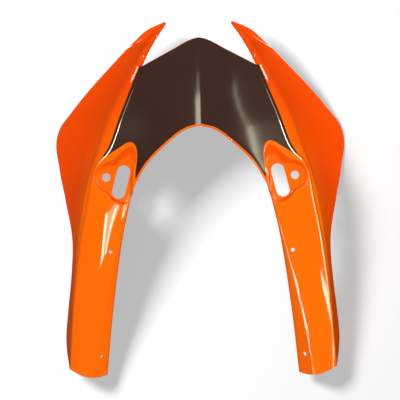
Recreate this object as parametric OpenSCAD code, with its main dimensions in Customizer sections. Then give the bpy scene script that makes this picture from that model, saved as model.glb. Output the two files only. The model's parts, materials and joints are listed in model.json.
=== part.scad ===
// Upper nose cowl of a sport motorcycle, moulded in one piece.
// It lies face up, as seen from above: +Y is the front, +X the rider's right.
// Plan sizes count from the line through the two mirror holes, y = 0.

/* [Crown and arms] */
// Height of the crown at the arch of the screen opening
crown_h = 148; // [130:1:165]
// Thickness of the moulded skin
wall = 3; // [2.4:0.1:3.6]
// Fall of the crown per millimetre forward, far ahead of the arch
front_fall = 0.33; // [0.28:0.01:0.38]
// Fall of the arms per millimetre backward
rear_fall = 0.20; // [0.17:0.01:0.22]
// Fall per millimetre towards the outside, far from the middle
side_fall = 0.26; // [0.22:0.01:0.28]
// Fall per millimetre away from the ridge in the middle
ridge_fall = 0.03; // [0.01:0.01:0.05]
// Length over which the crown rounds from front to back
hump_len = 70; // [60:1:80]
// Width over which the crown rounds from side to side
hump_w = 80; // [70:1:90]
// Rise of the arm faces above straight, in their middle
arm_bulge = 3; // [1:0.5:5]

/* [Screen opening] */
// Front of the opening, ahead of the mirror line
arch_y = 91.5; // [85:0.5:97]
// Width of the opening at the mirror line
screen_w = 223; // [216:1:230]
// Width of the opening between the ends of the arms
screen_end_w = 356.6; // [345:0.2:362]
// Width of the rolled lip round the opening
lip_w = 4.5; // [3.5:0.5:6]
// Depth of the rolled lip
lip_drop = 4; // [3:0.5:5]
// Width at the arm ends of the inner facet that the screen lies on
facet_w = 28; // [22:1:32]
// Angle of that facet to the ground, across the arm
facet_tilt = 36; // [28:1:40]

/* [Front edge] */
// Peak of the nose, ahead of the mirror line
peak_y = 256.5; // [248:0.5:264]
// Half width at the notches between nose and spikes
notch_x = 107.5; // [104:0.5:110]
// Notches, ahead of the mirror line
notch_y = 203.5; // [199:0.5:208]
// Half distance between the spike tips
tip_x = 60; // [56:1:66]
// Spike tips, ahead of the mirror line
tip_y = 286; // [280:1:294]
// Height of the spike tips
tip_h = 60; // [50:1:68]

/* [Wings and flanks] */
// Width over the corners of the wings
wing_w = 542; // [530:1:556]
// Width over the waist, behind the wings
waist_w = 481.4; // [477:0.2:490]
// Width over the flanks near the arm ends
flank_w = 514; // [508:1:522]
// Ends of the arms, behind the mirror line
arm_end_y = 367.5; // [355:0.5:380]
// Bow of the arms' end edges
end_bow = 9.5; // [5:0.5:12]
// Height of the small step along the outer edge of the crown
step_h = 5; // [3:0.5:6]
// Run of that step
step_w = 2.5; // [2:0.1:3.5]
// Sag of the wings, which flare outwards
wing_sag = 7; // [3:0.5:10]

/* [Mirror mounts] */
// Distance between the two mirror holes
mirror_pitch = 347.6; // [340:0.2:352]
// Diameter of the mirror holes
mirror_hole_d = 15; // [11:0.5:17]
// Depth of the recess floors, which the mirrors stand on, below the crown at the mirror holes
recess_depth = 15.5; // [13:0.5:18]
// Width of the slots for the mirror's second lug and its cable
slot_w = 24.5; // [18:0.5:26]
// Length of the slots
slot_len = 62; // [50:1:64]
// Angle of the slots to the direction of travel
slot_tilt = 14.4; // [10:0.2:18]

/* [Screen screws] */
// Diameter of the screen screw holes
screw_d = 7; // [5:0.5:8]
// Distance between the two front screw holes
front_screw_pitch = 336; // [332:1:344]
// Front screw holes, behind the mirror line
front_screw_y = 138; // [130:1:150]
// Distance between the two rear screw holes
rear_screw_pitch = 377; // [373:1:381]
// Rear screw holes, behind the mirror line
rear_screw_y = 333; // [322:1:340]

/* [Hidden] */
paint = [0.95, 0.33, 0.03];

// Rings run from the middle or the spike tip (u = -4) past the notch (u = 0) to the arm end (u = 12).
first_u = -4;
last_u = 12;
rings_per_unit = 3;
front_rings = -first_u * rings_per_unit;
side_rings = last_u * rings_per_unit;

// Smooth curve through points [u, a, b, ...], taken at u
function slope_at(pts, i) =
    let (n = len(pts) - 1)
    i == 0 ? (pts[1] - pts[0]) / (pts[1][0] - pts[0][0])
    : i == n ? (pts[n] - pts[n - 1]) / (pts[n][0] - pts[n - 1][0])
    : let (
        before = pts[i][0] - pts[i - 1][0],
        after = pts[i + 1][0] - pts[i][0],
        back = (pts[i] - pts[i - 1]) / before,
        ahead = (pts[i + 1] - pts[i]) / after
    )
    (back * after + ahead * before) / (before + after);

function span_of(pts, u, i = 0) =
    i >= len(pts) - 2 || u < pts[i + 1][0] ? i : span_of(pts, u, i + 1);

function along(pts, u) =
    let (
        i = span_of(pts, u),
        h = pts[i + 1][0] - pts[i][0],
        t = (u - pts[i][0]) / h,
        p = pts[i] * (2 * pow(t, 3) - 3 * pow(t, 2) + 1)
            + slope_at(pts, i) * h * (pow(t, 3) - 2 * pow(t, 2) + t)
            + pts[i + 1] * (3 * pow(t, 2) - 2 * pow(t, 3))
            + slope_at(pts, i + 1) * h * (pow(t, 3) - pow(t, 2))
    )
    [for (k = [1 : len(p) - 1]) p[k]];

// Main face of the crown and the arms: a hump from front to back, less a hump from side to side
hump_y = 40;
lean = (rear_fall - front_fall) / 2;
bend = (rear_fall + front_fall) / 2;
function profile(y) = lean * (y - hump_y) - bend * norm([y - hump_y, hump_len]);
function side_drop(x) = side_fall * (norm([x, hump_w]) - hump_w) + ridge_fall * abs(x);
function face_h(x, y) = crown_h + profile(y) - profile(arch_y) - side_drop(x);

// Edge curves in plan, as [u, x, y]
lip_curve = [
    [-4, 0, arch_y], [-2, 27, arch_y - 7.7], [0, 50.5, arch_y - 24], [2, 91, 29.8],
    [3.65, screen_w / 2, 0], [6, screen_w / 2 + 16, -40], [8, 147, -127.5],
    [10, screen_end_w / 2 - 13.3, -250], [12, screen_end_w / 2, -arm_end_y],
];
nose_curve = [[-4, 0, peak_y], [-3.6, 10, peak_y - 2.2], [-2, 50, peak_y - 22.5], [0, notch_x, notch_y]];
crease_curve = [
    [0, notch_x, notch_y], [1.5, 141.5, 120], [3, 168, 51], [4, 191.5, 22], [5, 200.3, -6],
    [6, 205.8, -36], [8, waist_w / 2 - 16.5, -128], [10, flank_w / 2 - 17.3, -250],
    [12, flank_w / 2 - 9.5, 10.5 - arm_end_y],
];

// Inner edge of the spikes, as [u, x, y, z]
spike_curve = [
    [-4, tip_x, tip_y, tip_h], [-2, 83.5, 250.5, tip_h + 15],
    [0, notch_x, notch_y, face_h(notch_x, notch_y)],
];

// Foot of the band beside the crown, as [u, x, y, fall below the crown's edge]
fold_curve = [
    [-4, tip_x + 1, tip_y + 0.8, 0.3], [-2, 93, 252, 4], [0, 116, 212, 9.5], [1, 157, 146, 23],
    [3, 194, 51, 30], [4, 203, 18, 21], [6, 217.5, -37, 19], [8, waist_w / 2 - 9.4, -128, 16],
    [10, flank_w / 2 - 14, -250, 12], [12, flank_w / 2 - 8, 10.5 - arm_end_y, 3],
];

// Lower rim of spikes, wings and flanks, as [u, x, y, z]
rim_curve = [
    [-4, tip_x + 3, tip_y + 2, tip_h - 1], [-3, 97, 271, 61], [-2, 119, 252.5, 58],
    [0, 157, 215.5, 48], [1, 206, 164.5, 29], [2, 243, 121, 11], [2.6, wing_w / 2 - 9, 96.5, 3],
    [10 / 3, wing_w / 2, 62, 0], [4, wing_w / 2 - 5.5, 20, 4], [6, waist_w / 2 + 13.5, -40, 17],
    [8, waist_w / 2, -130, 42], [9, waist_w / 2 + 3.8, -188, 34], [10, flank_w / 2 - 4.5, -252, 10],
    [10.7, flank_w / 2, -298, 0], [11.2, flank_w / 2 - 1, -322, 1], [12, flank_w / 2 - 7, 13 - arm_end_y, 30],
];

// Width of the inner facet and share of the arm's bulge and bow, as [u, width share, bulge share, bow share]
arm_shape = [
    [-4, 0, 0, 0], [4, 0, 0, 0], [6.5, 0.08, 0.5, 0],
    [8, 0.29, 1, 0], [11, 0.86, 1, 0.1], [12, 1, 1, 1],
];

function outer_edge(u) = u < 0 ? along(nose_curve, u) : along(crease_curve, u);

// Way across crown or arm at u, from the lip to the outer edge
function face_run(u) = norm(outer_edge(u) - along(lip_curve, u));

// Width of the inner facet at u, which leaves part of the arm's face however narrow the arm is
widest_facet = 0.6;
function facet_at(u) = along(arm_shape, u)[0] * min(facet_w, widest_facet * face_run(u));
min_ledge = 2 * lip_w;
function ledge_at(u) = max(facet_at(u), min_ledge);

// Point of crown or arm at u, at distance s from the lip
facet_slope = tan(facet_tilt) + side_fall + ridge_fall;
function face_point(u, s) =
    let (
        lip = along(lip_curve, u),
        run = face_run(u),
        p = lip + (outer_edge(u) - lip) * s / run,
        shape = along(arm_shape, u),
        across = max(0, (s - ledge_at(u)) / (run - ledge_at(u))),
        bow = end_bow * shape[2] * 4 * (s / run) * (1 - s / run),
        bulge = arm_bulge * shape[1] * 4 * across * (1 - across),
        facet_fall = facet_slope * max(0, facet_at(u) - s),
        roll = lip_drop * pow(max(0, 1 - s / lip_w), 2)
    )
    [p[0], p[1] - bow, face_h(p[0], p[1]) + bulge - facet_fall - roll];

// One ring across crown or arm
face_cells = 9;
function face_ring(u) =
    let (
        ledge = ledge_at(u),
        run = face_run(u),
        steps = concat(
            [0, lip_w / 3, lip_w, ledge],
            [for (k = [1 : face_cells]) ledge + (run - ledge) * k / face_cells]
        )
    )
    [for (s = steps) face_point(u, s)];

// The band beside the crown bends at this share of its width and of its fall
brow_share = 0.72;
brow_fall = 0.45;

// Wings wider than this sag in full, narrower ones less
full_sag_w = 60;

// One ring across spike, wing or flank, from the crown's edge to the rim
wing_cells = 6;
function wing_ring(u) =
    let (
        edge = outer_edge(max(u, 0)),
        top = u < 0 ? along(spike_curve, u) : [edge[0], edge[1], face_h(edge[0], edge[1])],
        fold_at = along(fold_curve, u),
        fold = [fold_at[0], fold_at[1], top[2] - fold_at[2]],
        rim = along(rim_curve, u),
        run = norm([fold[0] - top[0], fold[1] - top[1]]),
        fall = fold_at[2],
        sunk = min(step_h, fall / 3),
        near = min(step_w, run / 3) / run,
        foot = [top[0], top[1], 0] + [fold[0] - top[0], fold[1] - top[1], 0] * near
            + [0, 0, top[2] - sunk],
        brow = [top[0], top[1], 0] + [fold[0] - top[0], fold[1] - top[1], 0] * brow_share
            + [0, 0, top[2] - sunk - (fall - sunk) * brow_fall],
        sag = wing_sag * min(1, norm([rim[0] - fold[0], rim[1] - fold[1]]) / full_sag_w)
    )
    concat(
        [foot, brow, fold],
        [for (k = [1 : wing_cells])
            let (t = k / wing_cells)
            fold + (rim - fold) * t - [0, 0, sag * 4 * t * (1 - t)]]
    );

// The rings of one half: the crown's front, the spike, and the side from notch to arm end
function ring_u(k) = first_u + k / rings_per_unit;
crown_rings = [for (k = [0 : front_rings - 1]) face_ring(ring_u(k))];
spike_rings = [for (k = [0 : front_rings - 1])
    concat([along(spike_curve, ring_u(k))], wing_ring(ring_u(k)))];
side_rings_pts = [for (k = [front_rings : front_rings + side_rings])
    concat(face_ring(ring_u(k)), wing_ring(ring_u(k)))];

face_n = len(crown_rings[0]);
wing_n = len(spike_rings[0]);
all_n = face_n + wing_n - 1;
crown_n = front_rings * face_n;
spike_n = front_rings * wing_n;
skin = concat(
    [for (r = crown_rings) each r],
    [for (r = spike_rings) each r],
    [for (r = side_rings_pts) each r]
);
half_n = len(skin);

// Place in the skin's list of the point at ring k and column j; ring 0 of the side is the notch's
function crown_at(k, j) = k < front_rings ? k * face_n + j : side_at(0, j);
function spike_at(k, j) =
    k < front_rings ? crown_n + k * wing_n + j : side_at(0, face_n - 1 + j);
function side_at(k, j) = crown_n + spike_n + k * all_n + j;

// Unit normal from the four neighbours, which the end columns and rings lack on one side
function across_at(k, j, n, grid) =
    grid == 0 ? skin[crown_at(k, min(j + 1, n - 1))] - skin[crown_at(k, max(j - 1, 0))]
    : grid == 1 ? skin[spike_at(k, min(j + 1, n - 1))] - skin[spike_at(k, max(j - 1, 0))]
    : skin[side_at(k, min(j + 1, n - 1))] - skin[side_at(k, max(j - 1, 0))];
function before_side(j) =
    j < face_n ? crown_at(front_rings - 1, j) : spike_at(front_rings - 1, j - face_n + 1);
function along_at(k, j, grid) =
    grid == 0 ? skin[crown_at(k + 1, j)] - skin[crown_at(max(k - 1, 0), j)]
    : grid == 1 ? skin[spike_at(k + 1, j)] - skin[spike_at(max(k - 1, 0), j)]
    : skin[side_at(min(k + 1, side_rings), j)]
        - (k == 0 ? skin[before_side(j)] : skin[side_at(k - 1, j)]);
function unit(v) = v / norm(v);
function normal_at(k, j, n, grid) = unit(cross(along_at(k, j, grid), across_at(k, j, n, grid)));
function flat_middle(v, k, grid) = grid == 0 && k == 0 ? unit([0, v[1], v[2]]) : v;

inner_skin = [
    for (k = [0 : front_rings - 1]) for (j = [0 : face_n - 1])
        skin[crown_at(k, j)] - wall * flat_middle(normal_at(k, j, face_n, 0), k, 0),
    for (k = [0 : front_rings - 1]) for (j = [0 : wing_n - 1])
        skin[spike_at(k, j)] - wall * normal_at(k, j, wing_n, 1),
    for (k = [0 : side_rings]) for (j = [0 : all_n - 1])
        skin[side_at(k, j)] - wall * normal_at(k, j, all_n, 2),
];

// Walk round the free edge of one half, with the skin on its left, from the arch to the nose
free_edge = concat(
    [for (k = [0 : front_rings - 1]) crown_at(k, 0)],
    [for (k = [0 : side_rings]) side_at(k, 0)],
    [for (j = [1 : all_n - 1]) side_at(side_rings, j)],
    [for (k = [side_rings - 1 : -1 : 0]) side_at(k, all_n - 1)],
    [for (k = [front_rings - 1 : -1 : 0]) spike_at(k, wing_n - 1)],
    [for (j = [wing_n - 2 : -1 : 0]) spike_at(0, j)],
    [for (k = [1 : front_rings]) spike_at(k, 0)],
    [for (k = [front_rings - 1 : -1 : 0]) crown_at(k, face_n - 1)]
);

cells = concat(
    [for (k = [0 : front_rings - 1]) for (j = [0 : face_n - 2])
        [crown_at(k, j), crown_at(k, j + 1), crown_at(k + 1, j + 1), crown_at(k + 1, j)]],
    [for (k = [0 : front_rings - 1]) for (j = [0 : wing_n - 2])
        [spike_at(k, j), spike_at(k, j + 1), spike_at(k + 1, j + 1), spike_at(k + 1, j)]],
    [for (k = [0 : side_rings - 1]) for (j = [0 : all_n - 2])
        [side_at(k, j), side_at(k, j + 1), side_at(k + 1, j + 1), side_at(k + 1, j)]]
);

// Both halves share the points of the middle ring, which come first in the list
function place(i, layer, left) = (i < face_n ? 0 : left) * 2 * half_n + layer * half_n + i;
function turned(face, flip) = flip ? [for (i = [len(face) - 1 : -1 : 0]) face[i]] : face;
function halved(c) = [[c[0], c[1], c[2]], [c[0], c[2], c[3]]];
function half_faces(left) = concat(
    [for (c = cells) for (t = halved(c)) turned([for (i = t) place(i, 0, left)], left == 1)],
    [for (c = cells) for (t = halved(c)) turned([for (i = t) place(i, 1, left)], left == 0)],
    [for (e = [0 : len(free_edge) - 2])
        let (a = free_edge[e], b = free_edge[e + 1])
        for (t = halved([place(a, 0, left), place(b, 0, left), place(b, 1, left), place(a, 1, left)]))
        turned(t, left == 1)]
);
function mirrored(pts) = [for (p = pts) [-p[0], p[1], p[2]]];

// Closed body between the outer skin and another layer of the same points
module between_skin_and(layer)
    polyhedron(
        points = concat(skin, layer, mirrored(skin), mirrored(layer)),
        faces = concat(half_faces(0), half_faces(1)),
        convexity = 6
    );

// Height of the recess floors
floor_h = face_h(mirror_pitch / 2, 0) - recess_depth;

// Outlines of a mirror recess, from the mirror hole: [way round, floor x, floor y, rim x, rim y]
recess_way = 29;
recess_curve = [
    [0, 17.8, 0, 22.4, 0], [2, 12.2, 14.2, 15.6, 18.3], [4, -1, 20.9, -0.5, 27.6],
    [5.4, -15, 21.3, -13.5, 34], [7.1, -27.2, 30.8, -26.8, 45.1], [8.8, -38.2, 39.2, -39.6, 55.5],
    [9.8, -46.6, 39.9, -49.3, 56.7], [10.9, -50.6, 31.2, -54.6, 47.4], [15.2, -45.1, -3, -49.1, 4.8],
    [19.4, -40.8, -36.7, -43.7, -37.9], [21.2, -31, -46.2, -31, -50], [22.3, -21.5, -43.1, -20.5, -47],
    [23.8, -11, -36.1, -8.3, -38.8], [24.9, -4.5, -27.6, -1.5, -30], [26.3, 8.3, -19.8, 11.3, -23.5],
    [27.6, 15.8, -11.3, 19.8, -14.3],
];
recess_lap = [
    for (lap = [-1 : 1]) for (p = recess_curve) [p[0] + lap * recess_way, p[1], p[2], p[3], p[4]],
];
recess_steps = 58;
recess_top = 34;

// Corner of the floor or of the space above the rim at a place on the way round
function recess_corner(t, grow, lift) =
    let (
        p = along(recess_lap, t),
        ahead = along(recess_lap, t + 0.2) - along(recess_lap, t - 0.2),
        out = unit([ahead[1] + ahead[3], -ahead[0] - ahead[2]]),
        rise = face_h(mirror_pitch / 2 + p[2], p[3]) - floor_h,
        at = [p[0], p[1]] + [p[2] - p[0], p[3] - p[1]] * max(0, lift) / rise + out * grow
    )
    [mirror_pitch / 2 + at[0], at[1], floor_h + lift];

// Space of a mirror recess, grown by a wall for its outside
module recess(grow) {
    ways = [for (k = [0 : recess_steps - 1]) recess_way * k / recess_steps];
    low = [for (t = ways) recess_corner(t, grow, -grow)];
    high = [for (t = ways) recess_corner(t, grow, recess_top)];
    polyhedron(
        points = concat(low, high),
        faces = concat(
            [[for (k = [0 : recess_steps - 1]) k]],
            [[for (k = [recess_steps - 1 : -1 : 0]) recess_steps + k]],
            [for (k = [0 : recess_steps - 1])
                let (next = (k + 1) % recess_steps)
                [k, recess_steps + k, recess_steps + next, next]]
        ),
        convexity = 4
    );
}

module both_sides() {
    children();
    mirror([1, 0, 0]) children();
}

// Skin with the two mirror recesses pressed into it, as wide as the wings
module moulding()
    resize([wing_w, 0, 0])
        difference() {
            union() {
                between_skin_and(inner_skin);
                intersection() {
                    between_skin_and([for (p = skin) [p[0], p[1], -wall]]);
                    both_sides() recess(wall);
                }
            }
            both_sides() recess(0);
        }

slot_from_hole = [-27.3, -8.8];
through = 40;

module mirror_openings()
    translate([mirror_pitch / 2, 0, floor_h - through / 2]) {
        cylinder(d = mirror_hole_d, h = through, $fn = 48);
        translate(slot_from_hole) rotate(slot_tilt) {
            for (end = [-1, 1])
                translate([0, end * (slot_len - slot_w) / 2, 0]) cylinder(d = slot_w, h = through, $fn = 48);
            translate([-slot_w / 2, -(slot_len - slot_w) / 2, 0])
                cube([slot_w, slot_len - slot_w, through]);
        }
    }

// The rear screws stand square to the inner facet, the front ones upright
arm_u = 10;
rear_u = arm_u + (last_u - arm_u) * (along(lip_curve, arm_u)[1] + rear_screw_y)
    / (along(lip_curve, arm_u)[1] + arm_end_y);
rear_s = rear_screw_pitch / 2 - along(lip_curve, rear_u)[0];
rear_at = face_point(rear_u, rear_s);
rear_axis = unit(cross(
    face_point(rear_u, rear_s) - face_point(rear_u, rear_s - 1),
    face_point(rear_u - 0.1, rear_s) - face_point(rear_u, rear_s)
));
screw_hole_h = 24;

module screw_holes() {
    front_x = front_screw_pitch / 2;
    translate([front_x, -front_screw_y, face_h(front_x, -front_screw_y)])
        cylinder(d = screw_d, h = screw_hole_h, center = true, $fn = 32);
    translate(rear_at)
        rotate([0, acos(rear_axis[2]), atan2(rear_axis[1], rear_axis[0])])
            cylinder(d = screw_d, h = screw_hole_h, center = true, $fn = 32);
}

// The origin is under the middle of the cowl, in the plane that its rims rest on
reach_y = [for (p = concat(skin, inner_skin)) p[1]];
middle_y = (max(reach_y) + min(reach_y)) / 2;
lowest = min([for (p = concat(skin, inner_skin)) p[2]]);

module nose_cowl()
    color(paint)
        translate([0, -middle_y, -lowest])
            difference() {
                moulding();
                both_sides() mirror_openings();
                both_sides() screw_holes();
            }

nose_cowl();
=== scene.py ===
"""Looks of a sport motorcycle's upper nose cowl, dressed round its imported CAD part.

The cowl is one moulded shell, painted gloss orange with a satin brown field on the crown and
left bare inside. Its form is worked out in millimetres in the plan frame of the part's source
(y = 0 is the line through the mirror holes, +Y the front, +X the rider's right) and then
placed in the row frame in metres.
"""

import json
import logging
import math
from dataclasses import dataclass, field
from enum import Enum, IntEnum
from typing import ClassVar, Optional, Sequence

import bpy
import numpy as np
from mathutils import Matrix, Vector
from mathutils.geometry import delaunay_2d_cdt

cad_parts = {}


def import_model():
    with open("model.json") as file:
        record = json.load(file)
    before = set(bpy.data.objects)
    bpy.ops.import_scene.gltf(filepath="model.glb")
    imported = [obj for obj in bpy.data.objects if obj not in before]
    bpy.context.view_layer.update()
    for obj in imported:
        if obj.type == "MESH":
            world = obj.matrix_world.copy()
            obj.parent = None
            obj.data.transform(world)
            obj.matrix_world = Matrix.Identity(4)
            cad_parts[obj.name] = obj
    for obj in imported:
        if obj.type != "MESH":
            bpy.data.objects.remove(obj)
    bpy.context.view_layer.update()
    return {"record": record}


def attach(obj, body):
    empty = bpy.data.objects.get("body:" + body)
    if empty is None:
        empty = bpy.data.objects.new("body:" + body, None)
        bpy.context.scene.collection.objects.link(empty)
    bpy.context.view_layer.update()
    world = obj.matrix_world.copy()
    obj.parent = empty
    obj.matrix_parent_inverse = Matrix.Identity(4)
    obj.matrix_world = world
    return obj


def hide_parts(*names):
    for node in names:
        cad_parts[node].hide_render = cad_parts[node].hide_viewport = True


LOG = logging.getLogger("nose_cowl")
MM = 0.001
Array = np.ndarray
Colour = tuple[float, float, float]
Point = tuple[float, float, float]
Knots = Sequence[Sequence[float]]
Socket = bpy.types.NodeSocket
UP = np.array([0.0, 0.0, 1.0])
WHITE = (1.0, 1.0, 1.0, 1.0)
TINY = 1e-12
LEAST_GAP = 1e-9


class Finish(IntEnum):
    """Finishes of the shell's faces, in the order of its material slots."""

    GLOSS = 0
    SATIN = 1
    BARE = 2


def unit(vectors: Array) -> Array:
    """Vectors scaled to length one; a vector without length stays as it is."""
    length = np.linalg.norm(vectors, axis=-1, keepdims=True)
    return vectors / np.where(length > TINY, length, 1.0)


def soft_rise(value: Array, width: Array) -> Array:
    """Value above zero and nothing below, with the bend rounded over a few widths."""
    return width * np.logaddexp(0.0, value / width)


def eased(value: Array) -> Array:
    """Smooth step from 0 to 1."""
    t = np.clip(value, 0.0, 1.0)
    return t * t * (3.0 - 2.0 * t)


def bezier(start: Array, middle: Array, end: Array, shares: Sequence[float]) -> Array:
    """Points of quadratic Bezier arcs, one arc for each row.

    Args:
        start: Starts of the arcs, one row each.
        middle: Corners that the arcs round.
        end: Ends of the arcs.
        shares: Places along the arc, from 0 to 1.

    Returns:
        Array of rows by shares by three.
    """
    t = np.array(shares)[None, :, None]
    return (1 - t) ** 2 * start[:, None] + 2 * t * (1 - t) * middle[:, None] + t**2 * end[:, None]


def gradient(points: Array, closed: bool = False) -> Array:
    """Tangents along the first axis, weighted by the distances to both neighbours.

    Args:
        points: Rows of points, on two axes or more.
        closed: True where the last row joins the first.

    Returns:
        Tangents in the points' shape.
    """
    if closed:
        before, after = np.roll(points, 1, 0), np.roll(points, -1, 0)
    else:
        before = np.concatenate([points[:1] * 2 - points[1:2], points[:-1]])
        after = np.concatenate([points[1:], points[-1:] * 2 - points[-2:-1]])
    back, ahead = points - before, after - points
    near = np.linalg.norm(back, axis=-1, keepdims=True) + LEAST_GAP
    far = np.linalg.norm(ahead, axis=-1, keepdims=True) + LEAST_GAP
    return (back / near * far + ahead / far * near) / (near + far)


def grid_normals(points: Array, closed: bool = False) -> Array:
    """Unit normals of a grid of points.

    Args:
        points: Rings of points.
        closed: True where the last ring joins the first.

    Returns:
        Normals in the points' shape.
    """
    across = np.swapaxes(gradient(np.swapaxes(points, 0, 1)), 0, 1)
    return unit(np.cross(gradient(points, closed), across))


def worn(values: Array, rounds: int, closed: bool) -> Array:
    """Values whose peaks are worn down to the mean of their neighbours, round by round.

    Args:
        values: Values along a line or round a ring.
        rounds: How often the peaks are worn down.
        closed: True for a ring.

    Returns:
        The worn values.
    """
    for _ in range(rounds):
        mean = (np.roll(values, 1) + 2 * values + np.roll(values, -1)) / 4
        if not closed:
            mean[[0, -1]] = values[[0, -1]]
        values = np.minimum(values, mean)
    return values


def fitted(most: float, shares: Sequence[float], *rooms: Array) -> Array:
    """Sizes of a bend: the wished one, or a share of a room beside it where that is less."""
    return np.minimum(most, np.min([share * room for share, room in zip(shares, rooms)], axis=0))


def circle(count: int, radius: float) -> Array:
    """Plan points of a circle round the origin, clockwise."""
    turn = -np.arange(count) * 2 * math.pi / count
    return np.stack([np.cos(turn), np.sin(turn)], 1) * radius


def ring_edges(start: int, count: int) -> list[tuple[int, int]]:
    """Edges of a closed ring of points with running numbers."""
    return [(start + k, start + (k + 1) % count) for k in range(count)]


def cell_points(cells: Array) -> Array:
    """Points of a grid that are corners of its marked cells.

    Args:
        cells: Truth value of each cell.

    Returns:
        Truth value of each point of the grid.
    """
    found = np.zeros((cells.shape[0] + 1, cells.shape[1] + 1), bool)
    for a, b in ((0, 0), (1, 0), (0, 1), (1, 1)):
        found[a:a + cells.shape[0], b:b + cells.shape[1]] |= cells
    return found


def cell_border(cells: Array) -> list[tuple[tuple[int, int], tuple[int, int]]]:
    """Edges of a grid between its marked cells and the others, as pairs of its points.

    Args:
        cells: Truth value of each cell.

    Returns:
        Row and column of both points of each edge.
    """
    padded = np.pad(cells, 1)
    across = np.argwhere(padded[:-1, 1:-1] != padded[1:, 1:-1])
    along = np.argwhere(padded[1:-1, :-1] != padded[1:-1, 1:])
    return [((k, j), (k, j + 1)) for k, j in across] + [((k, j), (k + 1, j)) for k, j in along]


def inside(points: Array, starts: Array, ends: Array) -> Array:
    """Tells which plan points lie inside closed outlines, given as edges in any order.

    Args:
        points: Plan points, one row each.
        starts: Starts of the outlines' edges.
        ends: Ends of the outlines' edges.

    Returns:
        One truth value for each point.
    """
    found = np.zeros(len(points), bool)
    x, y = points[:, 0], points[:, 1]
    for (x0, y0), (x1, y1) in zip(starts, ends):
        if y0 == y1:
            continue
        crosses = (y0 > y) != (y1 > y)
        found ^= crosses & (x < (x1 - x0) * (y - y0) / (y1 - y0) + x0)
    return found


def distinct(corners: Sequence[int]) -> tuple[int, ...]:
    """Corners of a face without those that repeat the one before."""
    return tuple(int(c) for i, c in enumerate(corners) if c != corners[i - 1])


def inside_ring(points: Array, ring: Array) -> Array:
    """Tells which plan points lie inside one closed ring."""
    return inside(points, ring, np.roll(ring, -1, 0))


def distance_to(points: Array, line: Array, closed: bool) -> Array:
    """Plan distance from each point to a line of short pieces.

    Args:
        points: Plan points, one row each.
        line: Points of the line, in order.
        closed: True where its last point joins the first.

    Returns:
        One distance for each point.
    """
    starts = line if closed else line[:-1]
    ends = np.roll(line, -1, 0) if closed else line[1:]
    best = np.full(len(points), np.inf)
    for start, end in zip(starts, ends):
        along = end - start
        share = np.clip((points - start) @ along / max(float(along @ along), TINY), 0, 1)
        best = np.minimum(best, np.linalg.norm(points - start - share[:, None] * along, axis=1))
    return best


class Curve:
    """Smooth curve through knots [u, a, b, ...], as in the part's source."""

    def __init__(self, knots: Knots) -> None:
        """Works out the slopes at the knots.

        Args:
            knots: Rows of the parameter and the values there.
        """
        self.knots = np.array(knots, float)
        step = np.diff(self.knots[:, 0])[:, None]
        rate = np.diff(self.knots[:, 1:], axis=0) / step
        inner = (rate[:-1] * step[1:] + rate[1:] * step[:-1]) / (step[1:] + step[:-1])
        self.slopes = np.vstack([rate[:1], inner, rate[-1:]])

    @classmethod
    def through(cls, points: Array) -> "Curve":
        """Curve through points, with the way along them as its parameter."""
        way = np.concatenate([[0], np.cumsum(np.linalg.norm(np.diff(points, axis=0), axis=1))])
        return cls(np.column_stack([way, points]))

    def at(self, u: Array) -> Array:
        """Values at each u, on a new last axis.

        Args:
            u: Parameters, on any number of axes.

        Returns:
            The values there.
        """
        u = np.asarray(u, float)
        i = np.clip(np.searchsorted(self.knots[:, 0], u, side="right") - 1, 0, len(self.knots) - 2)
        h = (self.knots[i + 1, 0] - self.knots[i, 0])[..., None]
        t = (u - self.knots[i, 0])[..., None] / h
        near, far = self.knots[i, 1:], self.knots[i + 1, 1:]
        return (
            near * (2 * t**3 - 3 * t**2 + 1)
            + self.slopes[i] * h * (t**3 - 2 * t**2 + t)
            + far * (3 * t**2 - 2 * t**3)
            + self.slopes[i + 1] * h * (t**3 - t**2)
        )


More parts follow.
